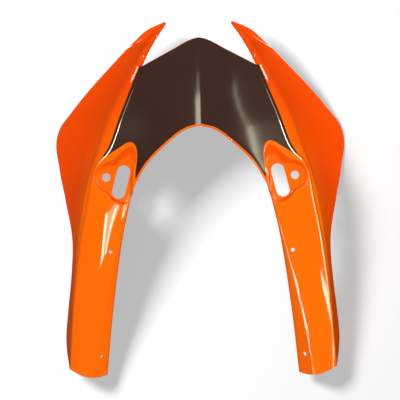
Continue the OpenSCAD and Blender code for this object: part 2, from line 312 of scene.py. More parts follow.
@dataclass
class CowlForm:
    """Sizes and curves of the moulding, in millimetres, with the same values as the part's source."""

    crown_h: float = 148.0
    wall: float = 3.0
    front_fall: float = 0.33
    rear_fall: float = 0.20
    side_fall: float = 0.26
    ridge_fall: float = 0.03
    ridge_round: float = 3.0
    hump_len: float = 70.0
    hump_w: float = 80.0
    hump_y: float = 40.0
    arm_bulge: float = 3.0
    arch_y: float = 91.5
    screen_w: float = 223.0
    screen_end_w: float = 356.6
    lip_w: float = 4.5
    lip_drop: float = 4.0
    facet_w: float = 28.0
    facet_tilt: float = 36.0
    facet_round: float = 1.8
    widest_facet: float = 0.6
    peak_y: float = 256.5
    notch_x: float = 107.5
    notch_y: float = 203.5
    tip_x: float = 60.0
    tip_y: float = 286.0
    tip_h: float = 60.0
    wing_w: float = 542.0
    waist_w: float = 481.4
    flank_w: float = 514.0
    arm_end_y: float = 367.5
    end_bow: float = 9.5
    step_h: float = 5.0
    step_w: float = 2.5
    brow_share: float = 0.72
    brow_fall: float = 0.45
    wing_sag: float = 7.0
    full_sag_w: float = 60.0
    mirror_pitch: float = 347.6
    recess_depth: float = 15.5
    recess_way: float = 29.0
    mirror_hole_r: float = 7.5
    slot_r: float = 12.25
    slot_half: float = 18.75
    slot_tilt: float = 14.4
    slot_at: tuple[float, float] = (-27.3, -8.8)
    screw_r: float = 3.5
    front_screw: tuple[float, float] = (168.0, -138.0)
    rear_screw: tuple[float, float] = (188.5, -333.0)
    facet_bend: ClassVar[float] = 0.3
    least_bend: ClassVar[float] = 1e-3
    least_facet: ClassVar[float] = 0.01
    flare_points: ClassVar[int] = 6
    probe_u: ClassVar[float] = 2e-3
    probe_s: ClassVar[float] = 0.1

    def __post_init__(self) -> None:
        """Draws the edge curves of the plan.

        A row holds the place u along the cowl, x and y, and where there is a fourth value a
        height, or for the fold its fall under the crease. The arm's rows hold shares of facet,
        bulge and bow. The recess's rows hold the way round it, then x and y of its floor's and
        of its rim's outline, from the mirror hole.
        """
        half_w, half_waist, half_flank = self.wing_w / 2, self.waist_w / 2, self.flank_w / 2
        half_screen, half_end = self.screen_w / 2, self.screen_end_w / 2
        arch, peak, end = self.arch_y, self.peak_y, self.arm_end_y
        notch_x, notch_y = self.notch_x, self.notch_y
        self.lip_curve = Curve([
            [-4, 0, arch], [-2, 27, arch - 7.7], [0, 50.5, arch - 24], [2, 91, 29.8],
            [3.65, half_screen, 0], [6, half_screen + 16, -40], [8, 147, -127.5],
            [10, half_end - 13.3, -250], [12, half_end, -end],
        ])
        self.nose_curve = Curve([
            [-4, 0, peak], [-3.6, 10, peak - 2.2], [-2, 50, peak - 22.5], [0, notch_x, notch_y],
        ])
        self.crease_curve = Curve([
            [0, notch_x, notch_y], [1.5, 141.5, 120], [3, 168, 51], [4, 191.5, 22],
            [5, 200.3, -6], [6, 205.8, -36], [8, half_waist - 16.5, -128],
            [10, half_flank - 17.3, -250], [12, half_flank - 9.5, 10.5 - end],
        ])
        self.spike_curve = Curve([
            [-4, self.tip_x, self.tip_y, self.tip_h], [-2, 83.5, 250.5, self.tip_h + 15],
            [0, notch_x, notch_y, float(self.face_h(np.array(notch_x), np.array(notch_y)))],
        ])
        self.fold_curve = Curve([
            [-4, self.tip_x + 1, self.tip_y + 0.8, 0.3], [-2, 93, 252, 4], [0, 116, 212, 9.5],
            [1, 157, 146, 23], [3, 194, 51, 30], [4, 203, 18, 21], [6, 217.5, -37, 19],
            [8, half_waist - 9.4, -128, 16], [10, half_flank - 14, -250, 12],
            [12, half_flank - 8, 10.5 - end, 3],
        ])
        self.rim_curve = Curve([
            [-4, self.tip_x + 3, self.tip_y + 2, self.tip_h - 1], [-3, 97, 271, 61],
            [-2, 119, 252.5, 58], [0, 157, 215.5, 48], [1, 206, 164.5, 29], [2, 243, 121, 11],
            [2.6, half_w - 9, 96.5, 3], [10 / 3, half_w, 62, 0], [4, half_w - 5.5, 20, 4],
            [6, half_waist + 13.5, -40, 17], [8, half_waist, -130, 42],
            [9, half_waist + 3.8, -188, 34], [10, half_flank - 4.5, -252, 10],
            [10.7, half_flank, -298, 0], [11.2, half_flank - 1, -322, 1],
            [12, half_flank - 7, 13 - end, 30],
        ])
        self.arm_shape = Curve([
            [-4, 0, 0, 0], [4, 0, 0, 0], [6.5, 0.08, 0.5, 0],
            [8, 0.29, 1, 0], [11, 0.86, 1, 0.1], [12, 1, 1, 1],
        ])
        outline = [
            [0, 17.8, 0, 22.4, 0], [2, 12.2, 14.2, 15.6, 18.3], [4, -1, 20.9, -0.5, 27.6],
            [5.4, -15, 21.3, -13.5, 34], [7.1, -27.2, 30.8, -26.8, 45.1],
            [8.8, -38.2, 39.2, -39.6, 55.5], [9.8, -46.6, 39.9, -49.3, 56.7],
            [10.9, -50.6, 31.2, -54.6, 47.4], [15.2, -45.1, -3, -49.1, 4.8],
            [19.4, -40.8, -36.7, -43.7, -37.9], [21.2, -31, -46.2, -31, -50],
            [22.3, -21.5, -43.1, -20.5, -47], [23.8, -11, -36.1, -8.3, -38.8],
            [24.9, -4.5, -27.6, -1.5, -30], [26.3, 8.3, -19.8, 11.3, -23.5],
            [27.6, 15.8, -11.3, 19.8, -14.3],
        ]
        laps = [[row[0] + lap * self.recess_way, *row[1:]] for lap in (-1, 0, 1) for row in outline]
        self.recess_curve = Curve(laps)

    def profile(self, y: Array) -> Array:
        """Height of the crown's hump from front to back."""
        lean, bend = (self.rear_fall - self.front_fall) / 2, (self.rear_fall + self.front_fall) / 2
        return lean * (y - self.hump_y) - bend * np.hypot(y - self.hump_y, self.hump_len)

    def face_h(self, x: Array, y: Array) -> Array:
        """Height of the crown and the arms over a plan point, with the ridge rounded.

        Args:
            x: Places across the cowl.
            y: Places along it.

        Returns:
            Heights there.
        """
        away = np.hypot(x, self.ridge_round) - self.ridge_round
        drop = self.side_fall * (np.hypot(x, self.hump_w) - self.hump_w) + self.ridge_fall * away
        return self.crown_h + self.profile(y) - self.profile(self.arch_y) - drop

    def outer_edge(self, u: Array) -> Array:
        """Outer edge of crown or arm in plan."""
        return np.where((u < 0)[..., None], self.nose_curve.at(u), self.crease_curve.at(u))

    def run(self, u: Array) -> Array:
        """Way across crown or arm from the lip to the outer edge."""
        return np.linalg.norm(self.outer_edge(u) - self.lip_curve.at(u), axis=-1)

    def face(self, u: Array, s: Array) -> Array:
        """Points of crown or arm at u, at distance s from the lip.

        Args:
            u: Places along the cowl.
            s: Distances from the lip, of the same shape.

        Returns:
            Points on a new last axis.
        """
        u, s = np.asarray(u, float), np.asarray(s, float)
        lip, edge, shape = self.lip_curve.at(u), self.outer_edge(u), self.arm_shape.at(u)
        run = np.linalg.norm(edge - lip, axis=-1)
        share = s / run
        plan = lip + (edge - lip) * share[..., None]
        facet = shape[..., 0] * np.minimum(self.facet_w, self.widest_facet * run)
        ledge = np.maximum(facet, 2 * self.lip_w)
        across = soft_rise(s - ledge, self.facet_round) / soft_rise(run - ledge, self.facet_round)
        bow = self.end_bow * shape[..., 2] * 4 * share * (1 - share)
        bulge = self.arm_bulge * shape[..., 1] * 4 * across * (1 - across)
        slope = math.tan(math.radians(self.facet_tilt)) + self.side_fall + self.ridge_fall
        bend = np.clip(self.facet_bend * facet, self.least_bend, self.facet_round)
        fall = slope * np.where(facet > self.least_facet, soft_rise(facet - s, bend), 0.0)
        roll = self.lip_drop * np.maximum(0, 1 - s / self.lip_w) ** 2
        height = self.face_h(plan[..., 0], plan[..., 1]) + bulge - fall - roll
        return np.stack([plan[..., 0], plan[..., 1] - bow, height], -1)

    def face_normal(self, u: Array, s: Array) -> Array:
        """Unit normals of crown or arm at u and s.

        Args:
            u: Places along the cowl.
            s: Distances from the lip, of the same shape.

        Returns:
            Normals on a new last axis.
        """
        u, s = np.asarray(u, float), np.asarray(s, float)
        du, ds = self.probe_u, self.probe_s
        front = np.where((u < 0) & (u + du >= 0), 0.0, du)
        back = np.where((u >= 0) & (u - du < 0), 0.0, du)
        along = self.face(u + front, s) - self.face(u - back, s)
        across = self.face(u, s + ds) - self.face(u, s - ds)
        return unit(np.cross(along, across))

    def wing_points(self, u: Array) -> dict[str, Array]:
        """Corner points of the sections across step, band and flare.

        Args:
            u: Places along the cowl.

        Returns:
            Points named top, foot, brow, fold and flare, the last with six on the second axis.
        """
        edge = self.outer_edge(np.maximum(u, 0.0))
        crest = np.concatenate([edge, self.face_h(edge[:, 0], edge[:, 1])[:, None]], 1)
        top = np.where((u < 0)[:, None], self.spike_curve.at(u), crest)
        fold_at, rim = self.fold_curve.at(u), self.rim_curve.at(u)
        fall = fold_at[:, 2]
        fold = np.stack([fold_at[:, 0], fold_at[:, 1], top[:, 2] - fall], 1)
        way = (fold - top) * [1, 1, 0]
        run = np.linalg.norm(way, axis=1)
        sunk = np.minimum(self.step_h, fall / 3)
        near = np.minimum(self.step_w, run / 3) / run
        foot = top + way * near[:, None]
        foot[:, 2] -= sunk
        brow = top + way * self.brow_share
        brow[:, 2] -= sunk + (fall - sunk) * self.brow_fall
        width = np.linalg.norm((rim - fold)[:, :2], axis=1)
        sag = self.wing_sag * np.minimum(1, width / self.full_sag_w)
        t = (np.arange(self.flare_points) + 1)[None, :, None] / self.flare_points
        flare = fold[:, None] + (rim - fold)[:, None] * t
        flare[:, :, 2] -= sag[:, None] * 4 * (t * (1 - t))[:, :, 0]
        return {"top": top, "foot": foot, "brow": brow, "fold": fold, "flare": flare}

    def find(self, plan: Array, start: Array) -> Array:
        """Finds the places (u, s) on crown or arm that lie over plan points.

        Args:
            plan: Plan points, one row each.
            start: First guesses of u and s, one row each.

        Returns:
            Rows of u and s.
        """
        rounds, du, ds, most_u, most_s = 14, 1e-4, 1e-3, 0.3, 8
        place = start.astype(float).copy()
        for _ in range(rounds):
            u, s = place[:, 0], place[:, 1]
            here = self.face(u, s)[:, :2]
            by_u = (self.face(u + du, s)[:, :2] - here) / du
            by_s = (self.face(u, s + ds)[:, :2] - here) / ds
            miss = plan - here
            det = by_u[:, 0] * by_s[:, 1] - by_u[:, 1] * by_s[:, 0]
            step_u = (miss[:, 0] * by_s[:, 1] - miss[:, 1] * by_s[:, 0]) / det
            step_s = (by_u[:, 0] * miss[:, 1] - by_u[:, 1] * miss[:, 0]) / det
            place[:, 0] += np.clip(step_u, -most_u, most_u)
            place[:, 1] += np.clip(step_s, -most_s, most_s)
        return place


class Skin:
    """Outer surface of one half of the shell while it grows, with its free edges."""

    def __init__(self, wall: float) -> None:
        """Starts with no points.

        Args:
            wall: Thickness of the shell where no other is given.
        """
        self.wall = wall
        self.points: list[Array] = []
        self.normals: list[Array] = []
        self.walls: list[Array] = []
        self.count = 0
        self.faces: list[tuple[int, ...]] = []
        self.finishes: list[Finish] = []
        self.edges: list[tuple[Array, Array, bool, Finish]] = []

    def add(self, points: Array, normals: Array, wall: Optional[Array] = None) -> Array:
        """Adds points with their normals.

        Args:
            points: Points on any number of axes, the last of three.
            normals: Normals of the same shape.
            wall: Thickness at the points, or None for the shell's own.

        Returns:
            Their places in the list, in the points' shape without the last axis.
        """
        shape = points.shape[:-1]
        total = int(np.prod(shape))
        thickness = np.broadcast_to(self.wall if wall is None else wall, shape)
        self.points.append(points.reshape(-1, 3))
        self.normals.append(normals.reshape(-1, 3))
        self.walls.append(thickness.reshape(-1).astype(float))
        places = np.arange(self.count, self.count + total).reshape(shape)
        self.count += total
        return places

    def face(self, corners: Sequence[int], finish: Finish) -> None:
        """Adds one face, without corners that repeat.

        Args:
            corners: Places of its points, counter-clockwise from outside.
            finish: Its finish.
        """
        kept = distinct(corners)
        if len(set(kept)) > 2:
            self.faces.append(kept)
            self.finishes.append(finish)

    def sheet(self, ids: Array, finish: Array, closed: bool = False, skip: Optional[Array] = None) -> None:
        """Adds the cells between rings of points.

        Args:
            ids: Places of the points, ring by ring.
            finish: Finish of each cell, or of all.
            closed: True where the last ring joins the first.
            skip: Cells to leave out, or None.
        """
        rings = len(ids) if closed else len(ids) - 1
        finishes = np.broadcast_to(finish, (rings, ids.shape[1] - 1))
        for k in range(rings):
            near, far = ids[k], ids[(k + 1) % len(ids)]
            for j in range(ids.shape[1] - 1):
                if skip is None or not skip[k, j]:
                    self.face((near[j], far[j], far[j + 1], near[j + 1]), Finish(int(finishes[k, j])))

    def free_edge(self, ids: Array, radius: Array, closed: bool, finish: Finish) -> None:
        """Notes a free edge, walked with the skin on its left."""
        self.edges.append((np.asarray(ids, int), np.broadcast_to(radius, len(ids)), closed, finish))


class HalfShell:
    """Right half of the moulding as a closed skin, open only in the middle plane.

    The constants are, in this order: radii of the rolled edges, sizes of the rounded bends, the
    shares of the room beside them that they may take, the least walls where a bend has no room,
    numbers and places of rings and columns, distances that the triangles round the recess keep
    from its lines, and the border of the satin field.
    """

    EDGE_R = 0.8
    HOLE_R = 0.5
    CREASE_CUT = 2.6
    CREASE_SPREAD = 1.6
    CREASE_EASE = 0.6
    FOOT_CUT = 1.6
    RIM_CUT = 2.5
    FLOOR_CUT = 2.0
    LEAST_CUT = 0.3
    CREASE_ROOM = (0.45, 0.25)
    FOOT_ROOM = (0.35, 0.3)
    RIM_ROOM = (0.4, 0.35)
    FLOOR_ROOM = (0.5, 0.3)
    EDGE_ROOM = 0.2
    SPIKE_ROOM = 0.3
    WALL_ROOM = 0.45
    WALL_TO_CUT = 1.25
    THIN_WALL = 0.9
    THINNEST_WALL = 0.5
    FRONT_RINGS = 36
    SIDE_RINGS = 150
    START_U = -4.0
    TIP_U = -4.0 + 0.03
    END_U = 12.0 - 0.0136
    RECESS_U = (1.5, 8, 200)
    FACE_CELLS = 36
    BAND_CELLS = 12
    FLARE_CELLS = 16
    WAYS = 240
    PAINT_POINTS = 90
    HOLE_POINTS = 56
    SCREW_POINTS = 32
    CAP_POINTS = 30
    FILL_COLUMN = 1
    LIP_COLUMN = 4
    LIP_COLUMNS = (1.7, 2.6, 3.5)
    ARC = (0.25, 0.5, 0.75)
    RING_MARGIN = 1.0
    PAINT_MARGIN = 0.8
    RING_CLEAR = 1.8
    PAINT_CLEAR = 1.6
    LEAST_TRIANGLE = 1e-4
    PAINT_ENDS = ((174.5, 38.5), (116.6, -5.0))
    PAINT_KNOTS = (
        (160, 47), (147, 55), (133.7, 62.8), (127.2, 63.9), (121, 60.5), (117.4, 54.3),
        (115.6, 44), (116.3, 28), (118.7, 10), (119.5, 2),
    )

    def __init__(self, form: CowlForm, floor_h: float) -> None:
        """Prepares the rings.

        Args:
            form: The moulding's sizes and curves.
            floor_h: Height of the recess floors, in the plan frame of the source.
        """
        self.form = form
        self.floor_h = floor_h
        self.skin = Skin(form.wall)
        self.mirror_at = np.array([form.mirror_pitch / 2, 0.0])
        self.front_u = np.linspace(self.START_U, 0.0, self.FRONT_RINGS + 1)[:-1]
        self.spike_u = np.concatenate([[self.TIP_U], self.front_u[1:]])
        self.side_u = np.linspace(0.0, self.END_U, self.SIDE_RINGS + 1)

    def build(self) -> Skin:
        """Makes all surfaces of the half.

        Returns:
            The skin with its faces and free edges.
        """
        self._recess_outlines()
        self._lay_side()
        self._lay_front()
        self._paint_line()
        self._recess_walls()
        self._lay_faces()
        self._recess_floor()
        self._note_edges()
        return self.skin

    def _recess_outlines(self) -> None:
        """Works out the recess's floor and rim outlines in plan."""
        form = self.form
        t = np.arange(self.WAYS) * form.recess_way / self.WAYS
        rows, probe = form.recess_curve.at(t), 0.2
        self.floor_line, self.rim_line = rows[:, :2] + self.mirror_at, rows[:, 2:] + self.mirror_at
        ahead = form.recess_curve.at(t + probe) - form.recess_curve.at(t - probe)
        self.recess_out = unit(np.stack([ahead[:, 1] + ahead[:, 3], -ahead[:, 0] - ahead[:, 2]], 1))

    def _face_columns(self, u: Array, end: Array) -> Array:
        """Distances from the lip of the columns across crown or arm.

        Args:
            u: Places of the rings.
            end: Distance of the last column, ring by ring.

        Returns:
            Distances, ring by ring.
        """
        width = self.form.lip_w
        lip = np.broadcast_to([self.EDGE_R, *self.LIP_COLUMNS, width], (len(u), len(self.LIP_COLUMNS) + 2))
        share = (np.arange(self.FACE_CELLS) + 1) / self.FACE_CELLS
        return np.hstack([lip, width + (end - width)[:, None] * share])

    def _sections(self, u: Array, inset: Array) -> Array:
        """Points across foot, band and flare for each ring, to a little short of the rim.

        Args:
            u: Places of the rings.
            inset: How far the last point stays from the rim, ring by ring.

        Returns:
            Points, ring by ring.
        """
        corners = self.form.wing_points(u)
        top, foot, brow = corners["top"], corners["foot"], corners["brow"]
        step, band_w = np.linalg.norm(foot - top, axis=1), np.linalg.norm(brow - foot, axis=1)
        cut = fitted(self.FOOT_CUT, self.FOOT_ROOM, step, band_w)
        rows = []
        for k in range(len(u)):
            line = Curve.through(np.vstack([foot[k], brow[k], corners["fold"][k], corners["flare"][k]]))
            fold_at, end = line.knots[2, 0], line.knots[-1, 0] - inset[k]
            band = cut[k] + (fold_at - cut[k]) * np.arange(self.BAND_CELLS + 1) / self.BAND_CELLS
            flare = fold_at + (end - fold_at) * (np.arange(self.FLARE_CELLS) + 1) / self.FLARE_CELLS
            rows.append(line.at(np.concatenate([band, flare])))
        rows = np.array(rows)
        before = foot + (top - foot) / step[:, None] * cut[:, None]
        rounding = bezier(before, foot, rows[:, 0], (0.0, 1 / 3, 2 / 3))
        return np.concatenate([rounding, rows], 1)

    def _rim_inset(self, u: Array) -> Array:
        """Radius of the rolled rim, less where wing and flank run out.

        Args:
            u: Places of the rings.

        Returns:
            One radius for each ring.
        """
        corners = self.form.wing_points(u)
        width = np.linalg.norm(corners["flare"][:, -1] - corners["fold"], axis=1)
        return np.minimum(self.EDGE_R, self.EDGE_ROOM * width)

    def _crease_cut(self, u: Array, corners: dict[str, Array]) -> Array:
        """Size of the rounding along the crown's outer crease.

        Args:
            u: Places of the rings.
            corners: Corner points of their sections.

        Returns:
            One size for each ring.
        """
        step = np.linalg.norm(corners["foot"] - corners["top"], axis=1)
        gap = distance_to(corners["top"][:, :2], self.rim_line, True)
        of_step, of_gap = self.CREASE_ROOM
        room = np.minimum(of_step * step, np.maximum(of_gap * gap, self.LEAST_CUT))
        return worn(np.minimum(self.CREASE_CUT * eased(u / self.CREASE_EASE), room), 3, closed=False)

    def _thinned(self, cut: Array) -> Array:
        """Wall that leaves a rounded bend room on the inner side, on a new last axis."""
        return np.clip(self.WALL_TO_CUT * cut, self.THIN_WALL, self.form.wall)[:, None]

    def _lay_side(self) -> None:
        """Places the points of the side, from the lip over the crease to the rim."""
        form, u = self.form, self.side_u
        corners = form.wing_points(u)
        run, cut = form.run(u), self._crease_cut(u, corners)
        self.side_s = self._face_columns(u, run - cut * self.CREASE_SPREAD)
        grid_u = np.broadcast_to(u[:, None], self.side_s.shape)
        face, face_n = form.face(grid_u, self.side_s), form.face_normal(grid_u, self.side_s)
        crest, foot = form.face(u, run), corners["foot"]
        beyond = crest + unit(foot - crest) * cut[:, None]
        crease = bezier(face[:, -1], crest, beyond, self.ARC + (1.0,))
        inset = self._rim_inset(u)
        wing = self._sections(u, inset)
        self.face_n, self.crease_n = face.shape[1], crease.shape[1]
        spike_inset = self._rim_inset(self.spike_u)
        spike = self._sections(self.spike_u, spike_inset)
        top = form.wing_points(self.spike_u)["top"]
        way = spike[:, 0] - top
        self.spike_edge_r = np.minimum(self.EDGE_R, self.SPIKE_ROOM * np.linalg.norm(way, axis=1))
        edge = top + unit(way) * self.spike_edge_r[:, None]
        spike = np.concatenate([edge[:, None], spike], 1)
        outer_n = grid_normals(np.concatenate([spike, np.concatenate([crease[:, -1:], wing], 1)]))
        all_side = np.concatenate([face, crease, wing], 1)
        rings, bend = len(self.spike_u), slice(self.face_n, self.face_n + self.crease_n - 1)
        normals = np.concatenate([face_n, grid_normals(all_side)[:, bend], outer_n[rings:]], 1)
        normals[0, self.face_n - 1:self.face_n + self.crease_n] = unit(face_n[0, -1] + outer_n[rings, 1])
        near = distance_to(all_side[..., :2].reshape(-1, 2), self.rim_line, True)
        near = near.reshape(all_side.shape[:2])
        walls = np.clip(self.WALL_ROOM * near, self.THINNEST_WALL, form.wall)
        crease_walls = walls[:, self.face_n - 1:self.face_n + self.crease_n]
        np.minimum(crease_walls, self._thinned(cut), out=crease_walls)
        walls[0] = form.wall
        self.side = self.skin.add(all_side, normals, walls)
        self.side[0, self.face_n:self.face_n + self.crease_n] = self.side[0, self.face_n - 1]
        self.side_points = all_side
        self.spike = self.skin.add(spike, outer_n[:rings])
        self.rim_r = np.concatenate([spike_inset, inset])

    def _lay_front(self) -> None:
        """Places the points of the crown's front, between the arch and the nose."""
        form, u = self.form, self.front_u
        s = self._face_columns(u, form.run(u) - self.EDGE_R)
        grid_u = np.broadcast_to(u[:, None], s.shape)
        points, normals = form.face(grid_u, s), form.face_normal(grid_u, s)
        points[0, :, 0] = 0.0
        normals[0, :, 0] = 0.0
        self.crown = self.skin.add(points, unit(normals))

    def _on_face(self, plan: Array) -> tuple[Array, Array]:
        """Points and normals of the arm's face over plan points.

        Args:
            plan: Plan points, one row each.

        Returns:
            The points, and their normals.
        """
        flat = self.side_points[:, :self.face_n].reshape(-1, 3)[:, :2]
        grid_u = np.broadcast_to(self.side_u[:, None], self.side_s.shape).ravel()
        nearest = np.array([int(np.argmin(((flat - p) ** 2).sum(1))) for p in plan])
        start = np.column_stack([grid_u[nearest], self.side_s.ravel()[nearest]])
        place = self.form.find(plan, start)
        points = self.form.face(place[:, 0], place[:, 1])
        points[:, :2] = plan
        return points, self.form.face_normal(place[:, 0], place[:, 1])

    def _recess_walls(self) -> None:
        """Lays the recess's rounded rim, its wall and its rounded foot."""
        crease = self.form.crease_curve.at(np.linspace(*self.RECESS_U))
        near = (crease, self.side_points[:, self.FILL_COLUMN, :2], self.paint)
        gap = np.min([distance_to(self.rim_line, line, False) for line in near], axis=0)
        slot_gap = distance_to(self.floor_line, self._floor_holes()[1], True)
        rim, _ = self._on_face(self.rim_line)
        floor = np.column_stack([self.floor_line, np.full(self.WAYS, self.floor_h)])
        wall = np.linalg.norm(rim - floor, axis=1)
        cut = worn(fitted(self.RIM_CUT, self.RIM_ROOM, gap, wall), 4, closed=True)
        foot_cut = fitted(self.FLOOR_CUT, self.FLOOR_ROOM, slot_gap, wall)
        self.rim_ring = self.rim_line + self.recess_out * cut[:, None]
        outside, outside_n = self._on_face(self.rim_ring)
        down = unit(floor - rim)
        high, low = rim + down * cut[:, None], floor - down * foot_cut[:, None]
        inner = floor - np.column_stack([self.recess_out, np.zeros(self.WAYS)]) * foot_cut[:, None]
        middle = high[:, None] + (low - high)[:, None] * np.array(self.ARC)[None, :, None]
        rings = np.concatenate([
            outside[:, None], bezier(outside, rim, high, self.ARC + (1.0,)), middle,
            bezier(low, floor, inner, (0.0,) + self.ARC + (1.0,)),
        ], 1)
        normals = grid_normals(rings, closed=True)
        normals[:, 0], normals[:, -1] = outside_n, UP
        room = distance_to(rings[:, :, :2].reshape(-1, 2), self.side_points[:, 0, :2], False)
        spare = room.reshape(rings.shape[:2]) - self.THINNEST_WALL
        walls = np.clip(spare, self.THIN_WALL, self.form.wall)
        walls[:, :len(self.ARC) + 2] = self._thinned(cut)
        self.recess = self.skin.add(rings, normals, walls)
        self.skin.sheet(self.recess, Finish.GLOSS, closed=True)
        self.floor_ring = inner[:, :2]

    def _paint_line(self) -> None:
        """Draws the border between the satin field and the orange round the recess."""
        crease, lip = self.side_points[:, self.face_n - 1, :2], self.side_points[:, self.LIP_COLUMN, :2]
        crease_end, tip = np.array(self.PAINT_ENDS)
        self.paint_ring = int(np.argmin(np.linalg.norm(crease - crease_end, axis=1)))
        self.tip_ring = int(np.argmin(np.linalg.norm(lip - tip, axis=1)))
        start, end = crease[self.paint_ring], lip[self.tip_ring]
        line = Curve.through(np.array([start, *self.PAINT_KNOTS, end]))
        self.paint = line.at(np.linspace(0, line.knots[-1, 0], self.PAINT_POINTS))
        far = np.array([[-600, 900], [900, 900], [900, start[1]]])
        self.dark_zone = np.vstack([self.paint, lip[self.tip_ring - 1::-1], far])

    def _hole_rings(self) -> list[Array]:
        """Plan rings of the two screw holes, clockwise.

        Returns:
            One ring for the front hole and one for the rear hole.
        """
        hole = circle(self.SCREW_POINTS, self.form.screw_r + self.HOLE_R)
        front = np.array(self.form.front_screw) + hole
        rear, axis = self._on_face(np.array([self.form.rear_screw]))
        side = unit(np.cross(axis[0], [0.0, 1.0, 0.0]))
        ahead = np.cross(axis[0], side)
        flat = (rear[0] + hole[:, :1] * side + hole[:, 1:] * ahead)[:, :2]
        area = np.sum(flat[:, 0] * np.roll(flat[:, 1], -1) - np.roll(flat[:, 0], -1) * flat[:, 1])
        return [front, flat if area < 0 else flat[::-1]]

    def _lay_faces(self) -> None:
        """Makes the cells of crown, side and spike, and fills in round the recess and the holes."""
        first = self.FILL_COLUMN
        ids = self.side[:, first:self.face_n]
        plan = self.side_points[:, first:self.face_n, :2]
        holes = self._hole_rings()
        rings = [self.rim_ring] + holes
        gone = self._touched_cells(plan, rings)
        dark = self._dark_cells(plan)
        body = np.full((len(self.side_u) - 1, self.side.shape[1] - 1), Finish.GLOSS)
        body[:, first:self.face_n - 1] = np.where(dark, Finish.SATIN, Finish.GLOSS)
        body[:self.paint_ring, self.face_n - 1:self.face_n + self.crease_n + 2] = Finish.SATIN
        skip = np.zeros(body.shape, bool)
        skip[:, first:self.face_n - 1] = gone
        self.skin.sheet(self.side, body, skip=skip)
        front = np.vstack([self.crown, self.side[:1, :self.face_n]])
        finish = np.full((len(front) - 1, self.face_n - 1), Finish.SATIN)
        finish[:, :self.LIP_COLUMN] = Finish.GLOSS
        self.skin.sheet(front, finish)
        spike = np.vstack([self.spike, self.side[:1, self.face_n + self.crease_n - 1:]])
        self.skin.sheet(spike, Finish.GLOSS)
        self._fill(ids, plan, gone, rings)

    def _touched_cells(self, plan: Array, rings: list[Array]) -> Array:
        """Cells of the face that a hole, its margin or the paint line reaches.

        Args:
            plan: Plan points of the face, ring by ring.
            rings: Plan rings of the recess and the holes.

        Returns:
            Truth value of each cell.
        """
        tries, reach = 5, 3
        a, b = np.meshgrid(np.linspace(0, 1, tries), np.linspace(0, 1, tries))
        weights = np.stack([(1 - a) * (1 - b), a * (1 - b), (1 - a) * b, a * b], -1).reshape(-1, 4)
        corners = np.stack([plan[:-1, :-1], plan[1:, :-1], plan[:-1, 1:], plan[1:, 1:]], 2)
        samples = np.einsum("qw,kjwc->kjqc", weights, corners)
        flat = samples.reshape(-1, 2)
        touched = np.zeros(len(flat), bool)
        for line in (*rings, self.paint):
            low, high = line.min(0) - reach, line.max(0) + reach
            near = np.flatnonzero(((flat > low) & (flat < high)).all(1))
            if line is self.paint:
                hit = distance_to(flat[near], line, False) < self.PAINT_MARGIN
            else:
                hit = inside_ring(flat[near], line) | (distance_to(flat[near], line, True) < self.RING_MARGIN)
            touched[near[hit]] = True
        return touched.reshape(samples.shape[:3]).any(2)

    def _dark_cells(self, plan: Array) -> Array:
        """Cells of the face in the satin field."""
        centre = (plan[:-1, :-1] + plan[1:, :-1] + plan[:-1, 1:] + plan[1:, 1:]) / 4
        return inside_ring(centre.reshape(-1, 2), self.dark_zone).reshape(centre.shape[:2])

    def _fill(self, ids: Array, plan: Array, gone: Array, rings: list[Array]) -> None:
        """Triangulates the open cells round the recess, the paint line and the holes.

        Args:
            ids: Places of the face's points.
            plan: Their plan points.
            gone: Cells that are open.
            rings: Plan rings of the recess and the holes.
        """
        used, opened = cell_points(~gone), cell_points(gone)
        used[:, 0] = used[:, -1] = True
        used[self.tip_ring, self.LIP_COLUMN - self.FILL_COLUMN] = True
        spare = opened & ~used
        clear = distance_to(plan[spare], self.paint, False) > self.PAINT_CLEAR
        for ring in rings:
            clear &= ~inside_ring(plan[spare], ring)
            clear &= distance_to(plan[spare], ring, True) > self.RING_CLEAR
        places = [ids[opened & used], ids[spare][clear]]
        lines = [plan[opened & used], plan[spare][clear]]
        number = {int(v): i for i, v in enumerate(np.concatenate(places))}
        edges = [(number[int(ids[near])], number[int(ids[far])]) for near, far in cell_border(gone)]
        flat = np.concatenate(lines)
        border = (flat[[near for near, _ in edges]], flat[[far for _, far in edges]])
        count = len(flat)
        self.hole_ids = [self.skin.add(*self._on_face(ring)) for ring in rings[1:]]
        for ring, ring_ids in zip(rings, [self.recess[:, 0], *self.hole_ids]):
            lines.append(ring)
            places.append(ring_ids)
            edges += ring_edges(count, len(ring))
            count += len(ring)
        inner = self.paint[1:-1]
        lines.append(inner)
        places.append(self.skin.add(*self._on_face(inner)))
        first = number[int(self.side[self.paint_ring, self.face_n - 1])]
        last = number[int(self.side[self.tip_ring, self.LIP_COLUMN])]
        chain = [first, *range(count, count + len(inner)), last]
        edges += list(zip(chain[:-1], chain[1:]))
        triangles, centres = self._triangulate(np.vstack(lines), np.concatenate(places), edges)
        keep = inside(centres, *border)
        for ring in rings:
            keep &= ~inside_ring(centres, ring)
        dark = inside_ring(centres, self.dark_zone)
        for corners, satin in zip(triangles[keep], dark[keep]):
            self.skin.face(corners, Finish.SATIN if satin else Finish.GLOSS)

